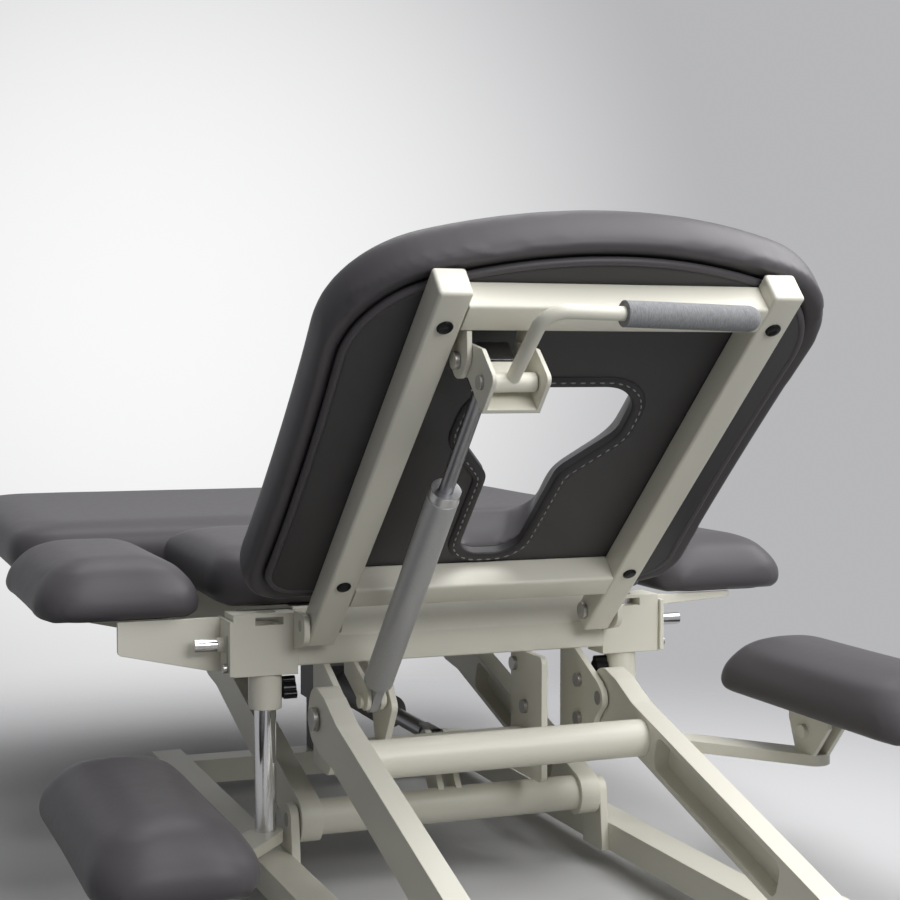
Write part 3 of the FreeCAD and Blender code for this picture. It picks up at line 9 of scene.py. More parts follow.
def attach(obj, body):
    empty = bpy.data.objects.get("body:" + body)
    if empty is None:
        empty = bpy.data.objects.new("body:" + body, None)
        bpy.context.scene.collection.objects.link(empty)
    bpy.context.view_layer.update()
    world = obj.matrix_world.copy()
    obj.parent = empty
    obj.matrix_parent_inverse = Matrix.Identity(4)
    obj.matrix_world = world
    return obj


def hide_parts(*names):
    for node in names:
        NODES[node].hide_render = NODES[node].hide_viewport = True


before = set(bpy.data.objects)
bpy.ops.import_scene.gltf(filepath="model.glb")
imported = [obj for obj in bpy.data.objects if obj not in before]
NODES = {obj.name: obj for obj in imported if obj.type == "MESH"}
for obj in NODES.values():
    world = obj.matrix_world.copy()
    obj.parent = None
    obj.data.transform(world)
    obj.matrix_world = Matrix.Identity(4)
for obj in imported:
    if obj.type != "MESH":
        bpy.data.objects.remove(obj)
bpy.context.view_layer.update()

bl_info = {
    "name": "Physiotherapy table looks",
    "version": (1, 0, 0),
    "blender": (4, 5, 0),
    "location": "3D View > Sidebar > Table",
    "description": "Upholstery, finishes and studio for the physiotherapy table",
    "category": "Object",
}

SIDES = ("left", "right")

# The head section's frame: X across, Y down the slope, Z out of the cushion
HINGE = Vector((0, -0.340, 0.384))
HEAD_TILT = math.radians(41.7)
IN_HEAD = Matrix.Translation(HINGE) @ Matrix.Rotation(-HEAD_TILT, 4, "X")
LEVEL = Matrix.Identity(4)

# The board behind the head cushion, and the height of its back in that frame
PANEL = "head_board"
PANEL_BACK = 0.020

# Distance at which vertices are merged, and the error allowed in a height
MERGE = 1e-5
ERROR = 1e-4

# Cosine above which a direction runs along an axis, and below which two faces meet in a sharp edge
ALONG = 0.9
ACROSS = 0.5

# Shading stays sharp across edges that bend more than this
SHARP_ANGLE = math.radians(40)


class TableFinish(bpy.types.PropertyGroup):
    """Colours of the table's materials."""

    upholstery: bpy.props.FloatVectorProperty(
        name="Upholstery", description="Leatherette of the cushions", subtype="COLOR",
        default=(0.088, 0.082, 0.088))
    panel: bpy.props.FloatVectorProperty(
        name="Back panel", description="Cover of the boards", subtype="COLOR",
        default=(0.043, 0.040, 0.043))
    thread: bpy.props.FloatVectorProperty(
        name="Thread", description="Stitches round the face opening", subtype="COLOR",
        default=(0.33, 0.33, 0.33))
    paint: bpy.props.FloatVectorProperty(
        name="Frame paint", description="Powder coat of the frame", subtype="COLOR",
        default=(0.80, 0.78, 0.68))
    cap: bpy.props.FloatVectorProperty(
        name="End caps", description="Plastic caps of the head rails", subtype="COLOR",
        default=(0.82, 0.80, 0.71))
    cylinder: bpy.props.FloatVectorProperty(
        name="Gas cylinder", description="Satin paint of the gas spring", subtype="COLOR",
        default=(0.48, 0.48, 0.49))
    grip: bpy.props.FloatVectorProperty(
        name="Grip", description="Foam of the lever's grip", subtype="COLOR",
        default=(0.27, 0.275, 0.285))


class TableCushions(bpy.types.PropertyGroup):
    """How the cushions are stuffed."""

    voxel: bpy.props.FloatProperty(
        name="Mesh size", description="Spacing of the cushions' mesh", unit="LENGTH",
        default=0.007, min=0.004)
    start_in: bpy.props.FloatProperty(
        name="Start inset", description="How much smaller a pad starts", unit="LENGTH",
        default=0.005)
    swell: bpy.props.FloatProperty(
        name="Swell", description="Furthest that the cover may move", unit="LENGTH",
        default=0.0075)
    draw_in: bpy.props.FloatProperty(
        name="Draw in", description="Furthest that the cover may end inside its pad", unit="LENGTH",
        default=0.0015)
    pressure: bpy.props.FloatProperty(
        name="Pressure", description="Pressure of the filling", default=6.0)
    stiffness: bpy.props.FloatProperty(
        name="Stiffness", description="How little the cover stretches", default=1.0)
    frames: bpy.props.IntProperty(
        name="Frames", description="Simulated frames", default=20, min=1)


class TableStage(bpy.types.PropertyGroup):
    """Camera and light."""

    lens: bpy.props.FloatProperty(
        name="Lens", description="Focal length in millimetres", default=70.2)
    camera_place: bpy.props.FloatVectorProperty(
        name="Camera", description="Where the camera stands", subtype="TRANSLATION", unit="LENGTH",
        default=(-0.887, -2.6014, 0.7348))
    camera_pitch: bpy.props.FloatProperty(
        name="Pitch", description="Camera above level", subtype="ANGLE",
        default=math.radians(-2.78))
    camera_yaw: bpy.props.FloatProperty(
        name="Yaw", description="Camera to the right of +Y", subtype="ANGLE",
        default=math.radians(20.98))
    floor: bpy.props.FloatVectorProperty(
        name="Floor", description="Colour of the floor", subtype="COLOR",
        default=(0.64, 0.64, 0.65))
    floor_bounce: bpy.props.FloatVectorProperty(
        name="Floor bounce", description="Colour of the light that the floor throws back", subtype="COLOR",
        default=(0.50, 0.50, 0.50))
    backdrop_light: bpy.props.FloatVectorProperty(
        name="Backdrop, light side", description="Backdrop on its light side", subtype="COLOR",
        default=(1.0, 1.0, 1.0))
    backdrop_dark: bpy.props.FloatVectorProperty(
        name="Backdrop, dark side", description="Backdrop on its dark side", subtype="COLOR",
        default=(0.47, 0.47, 0.485))
    sky: bpy.props.FloatVectorProperty(
        name="Sky", description="Colour of the even light", subtype="COLOR",
        default=(0.97, 0.98, 1.0))
    sky_strength: bpy.props.FloatProperty(
        name="Even light", description="Level of the even light", default=0.16)
    lamp_power: bpy.props.FloatProperty(
        name="Lamps", description="Power that each lamp takes its share of", unit="POWER",
        default=76.0)


class Value:
    """A shader value that can be used in Python expressions."""

    def __init__(self, finish, socket):
        self.finish = finish
        self.socket = socket

    def maths(self, operation, *values):
        """One maths node."""
        return self.finish.add("ShaderNodeMath", {"operation": operation}, dict(enumerate(values)))

    def __add__(self, other):
        return self.maths("ADD", self, other)

    __radd__ = __add__

    def __mul__(self, other):
        return self.maths("MULTIPLY", self, other)

    __rmul__ = __mul__

    def __sub__(self, other):
        return self.maths("SUBTRACT", self, other)

    def __rsub__(self, other):
        return self.maths("SUBTRACT", other, self)


class Finish:
    """A material and its nodes."""

    def __init__(self, name, roughness=0.5, metallic=0.0, coat=0.0, specular=0.5):
        self.material = bpy.data.materials.new(name)
        self.material.use_nodes = True
        self.tree = self.material.node_tree
        self.shader = self.tree.nodes["Principled BSDF"]
        self.set("Roughness", roughness)
        self.set("Metallic", metallic)
        self.set("Coat Weight", coat)
        self.set("Specular IOR Level", specular)

    @classmethod
    def of_tree(cls, tree):
        """Nodes added to a tree that isn't a material's."""
        finish = cls.__new__(cls)
        finish.tree = tree
        return finish

    def set(self, name, value):
        """Give the shader a value or a link."""
        self.feed(self.shader.inputs[name], value)

    def feed(self, socket, value):
        """Give a socket a value or a link."""
        if isinstance(value, Value):
            self.tree.links.new(value.socket, socket)
        elif socket.type == "RGBA" and len(value) == 3:
            socket.default_value = (*value, 1)
        else:
            socket.default_value = value

    def add(self, kind, settings=None, inputs=None, output=0):
        """Add a node: its settings first, then its sockets."""
        node = self.tree.nodes.new(kind)
        for name, value in (settings or {}).items():
            if name == "stops":
                self.ramp(node, value)
            else:
                setattr(node, name, value)
        for name, value in (inputs or {}).items():
            self.feed(node.inputs[name], value)
        return Value(self, node.outputs[output])

    @staticmethod
    def ramp(node, stops):
        """Set the stops of a colour ramp."""
        elements = node.color_ramp.elements
        for element, (place, colour) in zip(elements, stops):
            element.position = place
            element.color = (*colour, 1)

    def place(self):
        """Object coordinates."""
        return self.add("ShaderNodeTexCoord", output="Object")

    def noise(self, scale, detail=4.0, stretch=None):
        """Noise over the surface; stretch scales its axes."""
        where = self.place()
        if stretch:
            where = self.add("ShaderNodeMapping", inputs={"Vector": where, "Scale": stretch})
        return self.add("ShaderNodeTexNoise", inputs={"Vector": where, "Scale": scale, "Detail": detail})

    def cells(self, scale):
        """Distance to cell centres."""
        inputs = {"Vector": self.place(), "Scale": scale}
        return self.add("ShaderNodeTexVoronoi", inputs=inputs, output="Distance")

    def fade(self, value, low, high):
        """A smooth change from 0 to 1 between two values."""
        return self.add("ShaderNodeMapRange", {"interpolation_type": "SMOOTHSTEP"},
                        {"Value": value, "From Min": low, "From Max": high})

    def mix(self, share, low, high):
        """Blend two colours."""
        return self.add("ShaderNodeMix", {"data_type": "RGBA"}, {0: share, 6: low, 7: high}, 2)

    def mottle(self, share, colour, low, high):
        """Vary the base colour between a darker and a lighter tint."""
        self.set("Base Color", self.mix(share, tint(colour, low), tint(colour, high)))

    def bump(self, height, strength, distance, normal=None):
        """Bump from a height, over another normal if one is given."""
        inputs = {"Height": height, "Strength": strength, "Distance": distance}
        if normal is not None:
            inputs["Normal"] = normal
        return self.add("ShaderNodeBump", inputs=inputs)

    def soft_edges(self, radius):
        """A normal that rounds sharp edges."""
        return self.add("ShaderNodeBevel", {"samples": 6}, {"Radius": radius})


def tint(colour, factor):
    """A colour made lighter or darker."""
    return tuple(min(1.0, channel * factor) for channel in colour)


def leatherette(name, colour):
    """Charcoal cover: fine pebble grain and a faint change of tone."""
    finish = Finish(name, specular=0.28)
    finish.mottle(finish.noise(5.0, detail=5.0), colour, 0.93, 1.07)
    finish.set("Roughness", 0.41 + finish.noise(60.0) * 0.08)
    pores = finish.bump(finish.cells(900.0), strength=0.12, distance=0.0004)
    finish.set("Normal", finish.bump(finish.noise(14.0), strength=0.02, distance=0.004, normal=pores))
    return finish.material


def panel_cover(colour):
    """Cover of the boards: a tight weave."""
    finish = Finish("panel_cover", specular=0.45)
    weave = finish.add("ShaderNodeTexMagic", {"turbulence_depth": 1},
                       {"Vector": finish.place(), "Scale": 900.0}, "Fac")
    tone = finish.noise(9.0)
    finish.mottle(tone, colour, 0.92, 1.08)
    finish.set("Roughness", 0.42 + tone * 0.1)
    finish.set("Normal", finish.bump(weave, strength=0.1, distance=0.0003))
    return finish.material


def powder_coat(colour):
    """Ivory powder coat: orange peel, rounded edges, a faint yellowing."""
    finish = Finish("frame_paint", specular=0.5, coat=0.08)
    finish.mottle(finish.noise(3.5, detail=3.0), colour, 0.94, 1.05)
    finish.set("Roughness", 0.34 + finish.noise(40.0) * 0.12)
    peel = finish.noise(420.0, detail=2.0)
    edges = finish.soft_edges(0.0018)
    finish.set("Normal", finish.bump(peel, strength=0.05, distance=0.0006, normal=edges))
    return finish.material


def moulded(name, colour, roughness, specular=0.5):
    """Moulded plastic or rubber with a fine texture."""
    finish = Finish(name, specular=specular)
    tone = finish.noise(30.0)
    finish.mottle(tone, colour, 0.9, 1.1)
    finish.set("Roughness", roughness + tone * 0.1)
    texture = finish.noise(700.0, detail=2.0)
    edges = finish.soft_edges(0.001)
    finish.set("Normal", finish.bump(texture, strength=0.06, distance=0.0004, normal=edges))
    return finish.material


def foam(colour):
    """Closed-cell foam: mottled, with open pores."""
    finish = Finish("grip_foam", specular=0.25)
    spots = finish.noise(420.0, detail=5.0, stretch=(2.2, 0.4, 0.4))
    stops = ((0.3, tint(colour, 0.8)), (0.7, tint(colour, 1.22)))
    finish.set("Base Color", finish.add("ShaderNodeValToRGB", {"stops": stops}, {"Fac": spots}))
    finish.set("Roughness", 0.78 + spots * 0.12)
    finish.set("Normal", finish.bump(finish.cells(700.0), strength=0.35, distance=0.0006))
    return finish.material


def metal(name, colour, roughness):
    """Bare or plated metal with a faint mottle."""
    finish = Finish(name, metallic=1.0)
    tone = finish.noise(300.0, detail=3.0)
    finish.mottle(tone, colour, 0.92, 1.06)
    finish.set("Roughness", roughness + tone * 0.08)
    edges = finish.soft_edges(0.0008)
    finish.set("Normal", finish.bump(tone, strength=0.03, distance=0.0002, normal=edges))
    return finish.material


def satin_paint(colour):
    """Grey satin paint of the gas cylinder with fine specks."""
    finish = Finish("cylinder_paint", metallic=0.35)
    specks = finish.noise(500.0, detail=3.0)
    finish.mottle(specks, colour, 0.88, 1.12)
    finish.set("Roughness", 0.36 + specks * 0.1)
    edges = finish.soft_edges(0.001)
    finish.set("Normal", finish.bump(specks, strength=0.04, distance=0.0003, normal=edges))
    return finish.material


MATERIALS = {}


def dress(obj, material):
    """Give an object one material."""
    obj.data.materials.clear()
    obj.data.materials.append(MATERIALS[material])


def new_object(name, bm):
    """An object in the scene from a bmesh, which is used up."""
    mesh = bpy.data.meshes.new(name)
    bm.to_mesh(mesh)
    bm.free()
    obj = bpy.data.objects.new(name, mesh)
    bpy.context.collection.objects.link(obj)
    return obj


def head_piece(name, bm, material, sharp=True):
    """Turn a bmesh in the head section's frame into a piece that rides on the head section."""
    bm.transform(IN_HEAD)
    bmesh.ops.recalc_face_normals(bm, faces=bm.faces)
    obj = new_object(name, bm)
    obj.data.shade_smooth()
    if sharp:
        obj.data.set_sharp_from_angle(angle=SHARP_ANGLE)
    dress(obj, material)
    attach(obj, "head")
    return obj


def join(whole, bm):
    """Move a bmesh into another one."""
    mesh = bpy.data.meshes.new("joined")
    bm.to_mesh(mesh)
    bm.free()
    whole.from_mesh(mesh)
    bpy.data.meshes.remove(mesh)


def node_copy(node, matrix):
    """A merged copy of a CAD node's mesh, seen in another frame."""
    bm = bmesh.new()
    bm.from_mesh(NODES[node].data)
    bmesh.ops.remove_doubles(bm, verts=bm.verts, dist=MERGE)
    bm.transform(matrix.inverted())
    return bm


def extent(verts):
    """Lowest and highest corner of some vertices."""
    spots = [vert.co for vert in verts]
    low = Vector([min(spot[axis] for spot in spots) for axis in range(3)])
    high = Vector([max(spot[axis] for spot in spots) for axis in range(3)])
    return low, high


def solids(node):
    """Lowest and highest corner of each solid of a CAD node, in the head section's frame."""
    bm = node_copy(node, IN_HEAD)
    left = set(bm.verts)
    boxes = []
    while left:
        stack = [left.pop()]
        island = []
        while stack:
            vert = stack.pop()
            island.append(vert)
            for edge in vert.link_edges:
                other = edge.other_vert(vert)
                if other in left:
                    left.remove(other)
                    stack.append(other)
        boxes.append(extent(island))
    bm.free()
    return sorted(boxes, key=lambda box: tuple(box[0]))


# Middle and half size of the window round the face opening, in the head section's frame
HOLE_MIDDLE = Vector((0, -0.30, 0))
HOLE_HALF = Vector((0.16, 0.24, 0))


def in_hole(spot):
    """Whether a spot on the panel lies at the face opening."""
    away = spot - HOLE_MIDDLE
    return abs(away.x) < HOLE_HALF.x and abs(away.y) < HOLE_HALF.y


def back_edges(bm):
    """The sharp edges of the panel's back face."""
    for edge in bm.edges:
        flat = all(abs(vert.co.z - PANEL_BACK) < ERROR for vert in edge.verts)
        if flat and len(edge.link_faces) == 2:
            first, second = edge.link_faces
            if abs(first.normal.dot(second.normal)) < ACROSS:
                yield edge


def panel_loop(hole):
    """Points in order round the panel's face opening, or round its outer edge."""
    bm = node_copy(PANEL, IN_HEAD)
    follow = {}
    for edge in back_edges(bm):
        first, second = edge.verts
        if in_hole(first.co) == hole:
            follow.setdefault(first, []).append(second)
            follow.setdefault(second, []).append(first)
    start = next(iter(follow))
    points = [start.co.copy()]
    before, here = start, follow[start][0]
    while here is not start:
        points.append(here.co.copy())
        ahead = [vert for vert in follow[here] if vert is not before]
        before, here = here, ahead[0]
    bm.free()
    return points


def even_steps(points, step):
    """Points at an even spacing round a closed line, with the direction at each."""
    spots = []
    run = 0.0
    total = sum((points[(i + 1) % len(points)] - point).length for i, point in enumerate(points))
    count = round(total / step)
    step = total / count
    for index, point in enumerate(points):
        ahead = points[(index + 1) % len(points)] - point
        length = ahead.length
        while run < length:
            spots.append((point + ahead * (run / length), ahead.normalized()))
            run += step
        run -= length
    return spots[:count]


def panel_line(hole, step):
    """Evenly spaced points round the panel's face opening, or round its outer edge."""
    return [spot for spot, way in even_steps(panel_loop(hole), step)]


def outward(points):
    """In-plane direction away from the inside of a closed line at each of its points."""
    count = len(points)
    area = sum(points[i].x * points[(i + 1) % count].y - points[(i + 1) % count].x * points[i].y
               for i in range(count))
    turn = 1 if area > 0 else -1
    result = []
    for i in range(count):
        way = (points[(i + 1) % count] - points[i - 1]).normalized()
        result.append(Vector((way.y, -way.x, 0)) * turn)
    return result


# Cushions: node, its board, body, the frame it lies level in, how much coarser its mesh is
CUSHIONS = [("head_cushion", "head_board", "head", IN_HEAD, 1.0),
            ("seat_cushion", "seat_board", "top", LEVEL, 1.0),
            ("leg_cushion", "leg_board", "leg", LEVEL, 1.5)]
CUSHIONS += [(f"{kind}_cushion_{side}", f"{kind}_board_{side}", f"{kind}_{side}", LEVEL, 1.0)
             for side in SIDES for kind in ("side", "drop")]

# Rounds of smoothing: small pads are drawn in, and the head cushion is let out again after each round
SOFT_ROUNDS = (0.5,) * 14
FIRM_ROUNDS = (0.5, -0.45) * 18

# The head cushion's back edge: how deep it rolls in at the panel, over what width and up to what height,
# and the spacing of the points that the width is measured from
ROLL_DEEP = 0.011
ROLL_WIDE = 0.034
ROLL_TOP = PANEL_BACK + ROLL_DEEP * 1.6
ROLL_STEP = 0.004


def apply_modifiers(obj):
    """Bake the modifiers into the mesh."""
    bpy.context.view_layer.update()
    graph = bpy.context.evaluated_depsgraph_get()
    mesh = bpy.data.meshes.new_from_object(obj.evaluated_get(graph))
    obj.modifiers.clear()
    old = obj.data
    obj.data = mesh
    bpy.data.meshes.remove(old)


def remeshed(obj, voxel):
    """Replace an object's mesh by an even one."""
    remesh = obj.modifiers.new("even", "REMESH")
    remesh.mode = "VOXEL"
    remesh.voxel_size = voxel
    apply_modifiers(obj)


def resting_on(obj, board, matrix, margin):
    """Indices of the vertices that lie against a board."""
    bm = node_copy(board, matrix)
    low, high = extent(bm.verts)
    bm.free()
    return {vert.index for vert in obj.data.vertices
            if low.x - margin < vert.co.x < high.x + margin
            and low.y - margin < vert.co.y < high.y + margin
            and vert.co.z < high.z + margin}


def start_smaller(obj, held, inset):
    """Draw a pad in along its normals, except where it is held."""
    starts = [vert.co - vert.normal * inset for vert in obj.data.vertices]
    for vert, start in zip(obj.data.vertices, starts):
        if vert.index not in held:
            vert.co = start


def stuff(obj, held, settings):
    """Swell a pad with cloth under pressure, held where it rests on its board."""
    before = [(vert.co.copy(), vert.normal.copy()) for vert in obj.data.vertices]
    group = obj.vertex_groups.new(name="held")
    group.add(sorted(held), 1.0, "REPLACE")
    cloth = obj.modifiers.new("cover", "CLOTH")
    cloth.settings.use_pressure = True
    cloth.settings.uniform_pressure_force = settings.pressure
    cloth.settings.effector_weights.gravity = 0
    cloth.settings.tension_stiffness = settings.stiffness
    cloth.settings.compression_stiffness = settings.stiffness
    cloth.settings.shear_stiffness = settings.stiffness
    cloth.settings.vertex_group_mass = "held"
    cloth.point_cache.frame_start = 1
    cloth.point_cache.frame_end = settings.frames
    scene = bpy.context.scene
    for number in range(1, settings.frames + 1):
        scene.frame_set(number)
    apply_modifiers(obj)
    scene.frame_set(1)
    least = settings.start_in - settings.draw_in
    for vert, (start, out) in zip(obj.data.vertices, before):
        if vert.index not in held:
            move = (vert.co - start).dot(out)
            vert.co = start + out * max(least, min(move, settings.swell))
    obj.vertex_groups.clear()


def even_out(obj, held, factors):
    """Take the small waves out of a cover."""
    bm = bmesh.new()
    bm.from_mesh(obj.data)
    free = [vert for vert in bm.verts if vert.index not in held]
    for factor in factors:
        bmesh.ops.smooth_vert(bm, verts=free, factor=factor,
                              use_axis_x=True, use_axis_y=True, use_axis_z=True)
    bm.to_mesh(obj.data)
    bm.free()


def roll_edge(obj):
    """Round the back of the head cushion down into the groove round its panel."""
    line = panel_line(False, ROLL_STEP)
    near = KDTree(len(line))
    for index, spot in enumerate(line):
        near.insert(spot, index)
    near.balance()
    for vert in obj.data.vertices:
        if vert.co.z < ROLL_TOP:
            level = Vector((vert.co.x, vert.co.y, PANEL_BACK))
            away = near.find(level)[2]
            if away < ROLL_WIDE:
                vert.co.z += ROLL_DEEP * (1 - away / ROLL_WIDE) ** 2


class TABLE_OT_cushions(bpy.types.Operator):
    """Make the padded cushions over their boards"""

    bl_idname = "table.cushions"
    bl_label = "Cushions"

    def execute(self, context):
        settings = context.scene.table_cushions
        for node, board, body, matrix, coarser in CUSHIONS:
            self.cushion(node, board, body, matrix, settings, settings.voxel * coarser)
        return {"FINISHED"}

    @staticmethod
    def cushion(node, board, body, matrix, settings, voxel):
        """One cushion, from its CAD solid."""
        obj = new_object(node + "_cover", node_copy(node, matrix))
        remeshed(obj, voxel)
        held = resting_on(obj, board, matrix, voxel)
        start_smaller(obj, held, settings.start_in)
        stuff(obj, held, settings)
        if node == "head_cushion":
            even_out(obj, held, FIRM_ROUNDS)
            roll_edge(obj)
        else:
            even_out(obj, held, SOFT_ROUNDS)
        finer = obj.modifiers.new("finer", "SUBSURF")
        finer.levels = 1
        finer.render_levels = 1
        obj.data.transform(matrix)
        obj.data.shade_smooth()
        dress(obj, "upholstery")
        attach(obj, body)
        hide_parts(node)


# Spacing of the points along a rolled edge
LINE_STEP = 0.006


def rolled_edge(name, spots, radius, flat, material):
    """A rolled edge of leatherette along a closed level line, its height a share of its width."""
    curve = bpy.data.curves.new(name, "CURVE")
    curve.dimensions = "3D"
    curve.bevel_depth = radius
    curve.bevel_resolution = 3
    spline = curve.splines.new("POLY")
    spline.points.add(len(spots) - 1)
    for point, spot in zip(spline.points, spots):
        point.co = (spot.x, spot.y, 0, 1)
    spline.use_cyclic_u = True
    tube = bpy.data.objects.new(name, curve)
    bpy.context.collection.objects.link(tube)
    bpy.context.view_layer.update()
    graph = bpy.context.evaluated_depsgraph_get()
    mesh = bpy.data.meshes.new_from_object(tube.evaluated_get(graph))
    bpy.data.objects.remove(tube)
    bm = bmesh.new()
    bm.from_mesh(mesh)
    bpy.data.meshes.remove(mesh)
    bmesh.ops.remove_doubles(bm, verts=bm.verts, dist=MERGE)
    bm.transform(Matrix.Translation((0, 0, spots[0].z)) @ Matrix.Diagonal((1, 1, flat, 1)))
    head_piece(name, bm, material, sharp=False)


class TABLE_OT_face_opening(bpy.types.Operator):
    """Bind the face opening's edge and stitch it"""

    bl_idname = "table.face_opening"
    bl_label = "Face opening"

    # The binding's half width, its distance from the opening and its height as a share of its width
    BAND = 0.009
    BAND_OUT = 0.008
    FLAT = 0.42

    # The stitches' distance from the opening, spacing and half sizes
    STITCH_OUT = BAND_OUT + 0.002
    STITCH_STEP = 0.013
    STITCH_LONG = 0.0042
    STITCH_THICK = 0.0011

    def execute(self, context):
        edge = panel_line(True, LINE_STEP)
        away = outward(edge)
        band = [spot + out * self.BAND_OUT for spot, out in zip(edge, away)]
        rolled_edge("face_opening_binding", band, self.BAND, self.FLAT, "binding")
        self.stitches([spot + out * self.STITCH_OUT for spot, out in zip(edge, away)])
        return {"FINISHED"}

    def stitches(self, line):
        """A row of thread dashes on the binding."""
        shape = Matrix.Diagonal((self.STITCH_LONG, self.STITCH_THICK, self.STITCH_THICK, 1))
        bm = bmesh.new()
        for spot, way in even_steps(line, self.STITCH_STEP):
            turn = Matrix.Rotation(math.atan2(way.y, way.x), 4, "Z")
            place = Matrix.Translation((spot.x, spot.y, PANEL_BACK - self.BAND * self.FLAT))
            bmesh.ops.create_uvsphere(bm, u_segments=6, v_segments=4, radius=1.0, matrix=place @ turn @ shape)
        head_piece("face_opening_stitches", bm, "thread", sharp=False)


def bevelled_box(low, high, radius, segments, chosen):
    """A block from its corners, with the chosen edges rounded."""
    bm = bmesh.new()
    size = Matrix.Diagonal((*(high - low), 1))
    bmesh.ops.create_cube(bm, size=1.0, matrix=Matrix.Translation((low + high) / 2) @ size)
    edges = [edge for edge in bm.edges if chosen(edge)]
    bmesh.ops.bevel(bm, geom=edges, offset=radius, affect="EDGES", segments=segments, profile=0.5,
                    material=-1)
    return bm


def along_axis(axis):
    """Chooses the edges that run along one axis."""
    def chosen(edge):
        way = edge.verts[1].co - edge.verts[0].co
        return abs(way[axis]) > ALONG * way.length
    return chosen


def above_foot(foot):
    """Chooses the edges that don't lie on the lower end."""
    def chosen(edge):
        return min(vert.co.y for vert in edge.verts) < foot
    return chosen


class TABLE_OT_head_tubes(bpy.types.Operator):
    """Round the edges of the head frame's tubes and caps"""

    bl_idname = "table.head_tubes"
    bl_label = "Head frame"

    # Radius and steps of the rounded edges, the tubes' wall and how deep their ends are hollow
    TUBE_ROUND, TUBE_STEPS = 0.0042, 3
    CAP_ROUND, CAP_STEPS = 0.0042, 4
    WALL = 0.0025
    HOLLOW = 0.03

    def execute(self, context):
        for side in SIDES:
            self.tube("head_rail_" + side, 1)
        self.tube("head_cross_tubes", 0)
        self.caps()
        return {"FINISHED"}

    def tube(self, node, axis):
        """Square tubes with hollow ends, one for each solid of a node."""
        whole = bmesh.new()
        for low, high in solids(node):
            bm = bevelled_box(low, high, self.TUBE_ROUND, self.TUBE_STEPS, along_axis(axis))
            ends = [face for face in bm.faces if abs(face.normal[axis]) > ALONG]
            bmesh.ops.inset_individual(bm, faces=ends, thickness=self.WALL, use_even_offset=True)
            inner = [face for face in bm.faces if abs(face.normal[axis]) > ALONG and len(face.verts) > 4]
            for face in inner:
                pushed = bmesh.ops.extrude_discrete_faces(bm, faces=[face])["faces"][0]
                bmesh.ops.translate(bm, verts=pushed.verts, vec=-pushed.normal * self.HOLLOW)
            join(whole, bm)
        obj = head_piece(node + "_tube", whole, "paint")
        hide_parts(node)

    def caps(self):
        """Rounded plastic caps."""
        whole = bmesh.new()
        for low, high in solids("rail_caps"):
            join(whole, bevelled_box(low, high, self.CAP_ROUND, self.CAP_STEPS, above_foot(high.y - ERROR)))
        obj = head_piece("rail_caps_moulded", whole, "cap")
        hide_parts("rail_caps")


class TABLE_OT_back_panel(bpy.types.Operator):
    """Wrap the head section's board, with a rolled lip and a welt all round"""

    bl_idname = "table.back_panel"
    bl_label = "Back panel"

    # Radius and steps of the lip
    LIP, LIP_STEPS = 0.009, 5

    # The welt's radius, and how far in from the panel's edge and from its back it lies
    WELT = 0.005
    WELT_IN = 0.0015
    WELT_DEEP = 0.004

    def execute(self, context):
        bm = node_copy(PANEL, IN_HEAD)
        bmesh.ops.dissolve_limit(bm, angle_limit=math.radians(1), verts=bm.verts, edges=bm.edges)
        rim = [edge for edge in back_edges(bm) if not in_hole(edge.verts[0].co)]
        bmesh.ops.bevel(bm, geom=rim, offset=self.LIP, affect="EDGES", segments=self.LIP_STEPS, profile=0.5,
                        material=-1)
        obj = head_piece("head_panel", bm, "panel")
        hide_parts("head_board")
        edge = panel_line(False, LINE_STEP)
        deep = Vector((0, 0, self.WELT_DEEP))
        welt = [spot - out * self.WELT_IN + deep for spot, out in zip(edge, outward(edge))]
        rolled_edge("head_panel_welt", welt, self.WELT, 1.0, "upholstery")
        return {"FINISHED"}


class TABLE_OT_plugs(bpy.types.Operator):
    """Domed plugs of the head rails"""

    bl_idname = "table.plugs"
    bl_label = "Rail plugs"

    # Steps of the dome: share of the radius that it ends with, share of the height that it takes
    STEPS = ((1.0, 0.45), (0.9, 0.3), (0.72, 0.17), (0.4, 0.08))

    def execute(self, context):
        bm = bmesh.new()
        for low, high in solids("rail_plugs"):
            self.plug(bm, low, high)
        bmesh.ops.holes_fill(bm, edges=[edge for edge in bm.edges if edge.is_boundary])
        obj = head_piece("rail_plugs_domed", bm, "black")
        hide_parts("rail_plugs")
        return {"FINISHED"}

    def plug(self, bm, low, high):
        """One plug, raised step by step from its foot."""
        middle = (low + high) / 2
        radius = (high.x - low.x) / 2
        tall = high.z - low.z
        made = bmesh.ops.create_circle(bm, cap_ends=True, segments=32, radius=radius,
                                       matrix=Matrix.Translation((middle.x, middle.y, high.z)))
        top = {face for vert in made["verts"] for face in vert.link_faces}
        for share, rise in self.STEPS:
            top = bmesh.ops.extrude_discrete_faces(bm, faces=list(top))["faces"]
            verts = list({vert for face in top for vert in face.verts})
            bmesh.ops.translate(bm, verts=verts, vec=(0, 0, -tall * rise))
            spread = [(vert.co - middle).to_2d().length for vert in verts]
            scale = share * radius / max(spread)
            bmesh.ops.scale(bm, verts=verts, vec=(scale, scale, 1), space=Matrix.Translation(-middle))


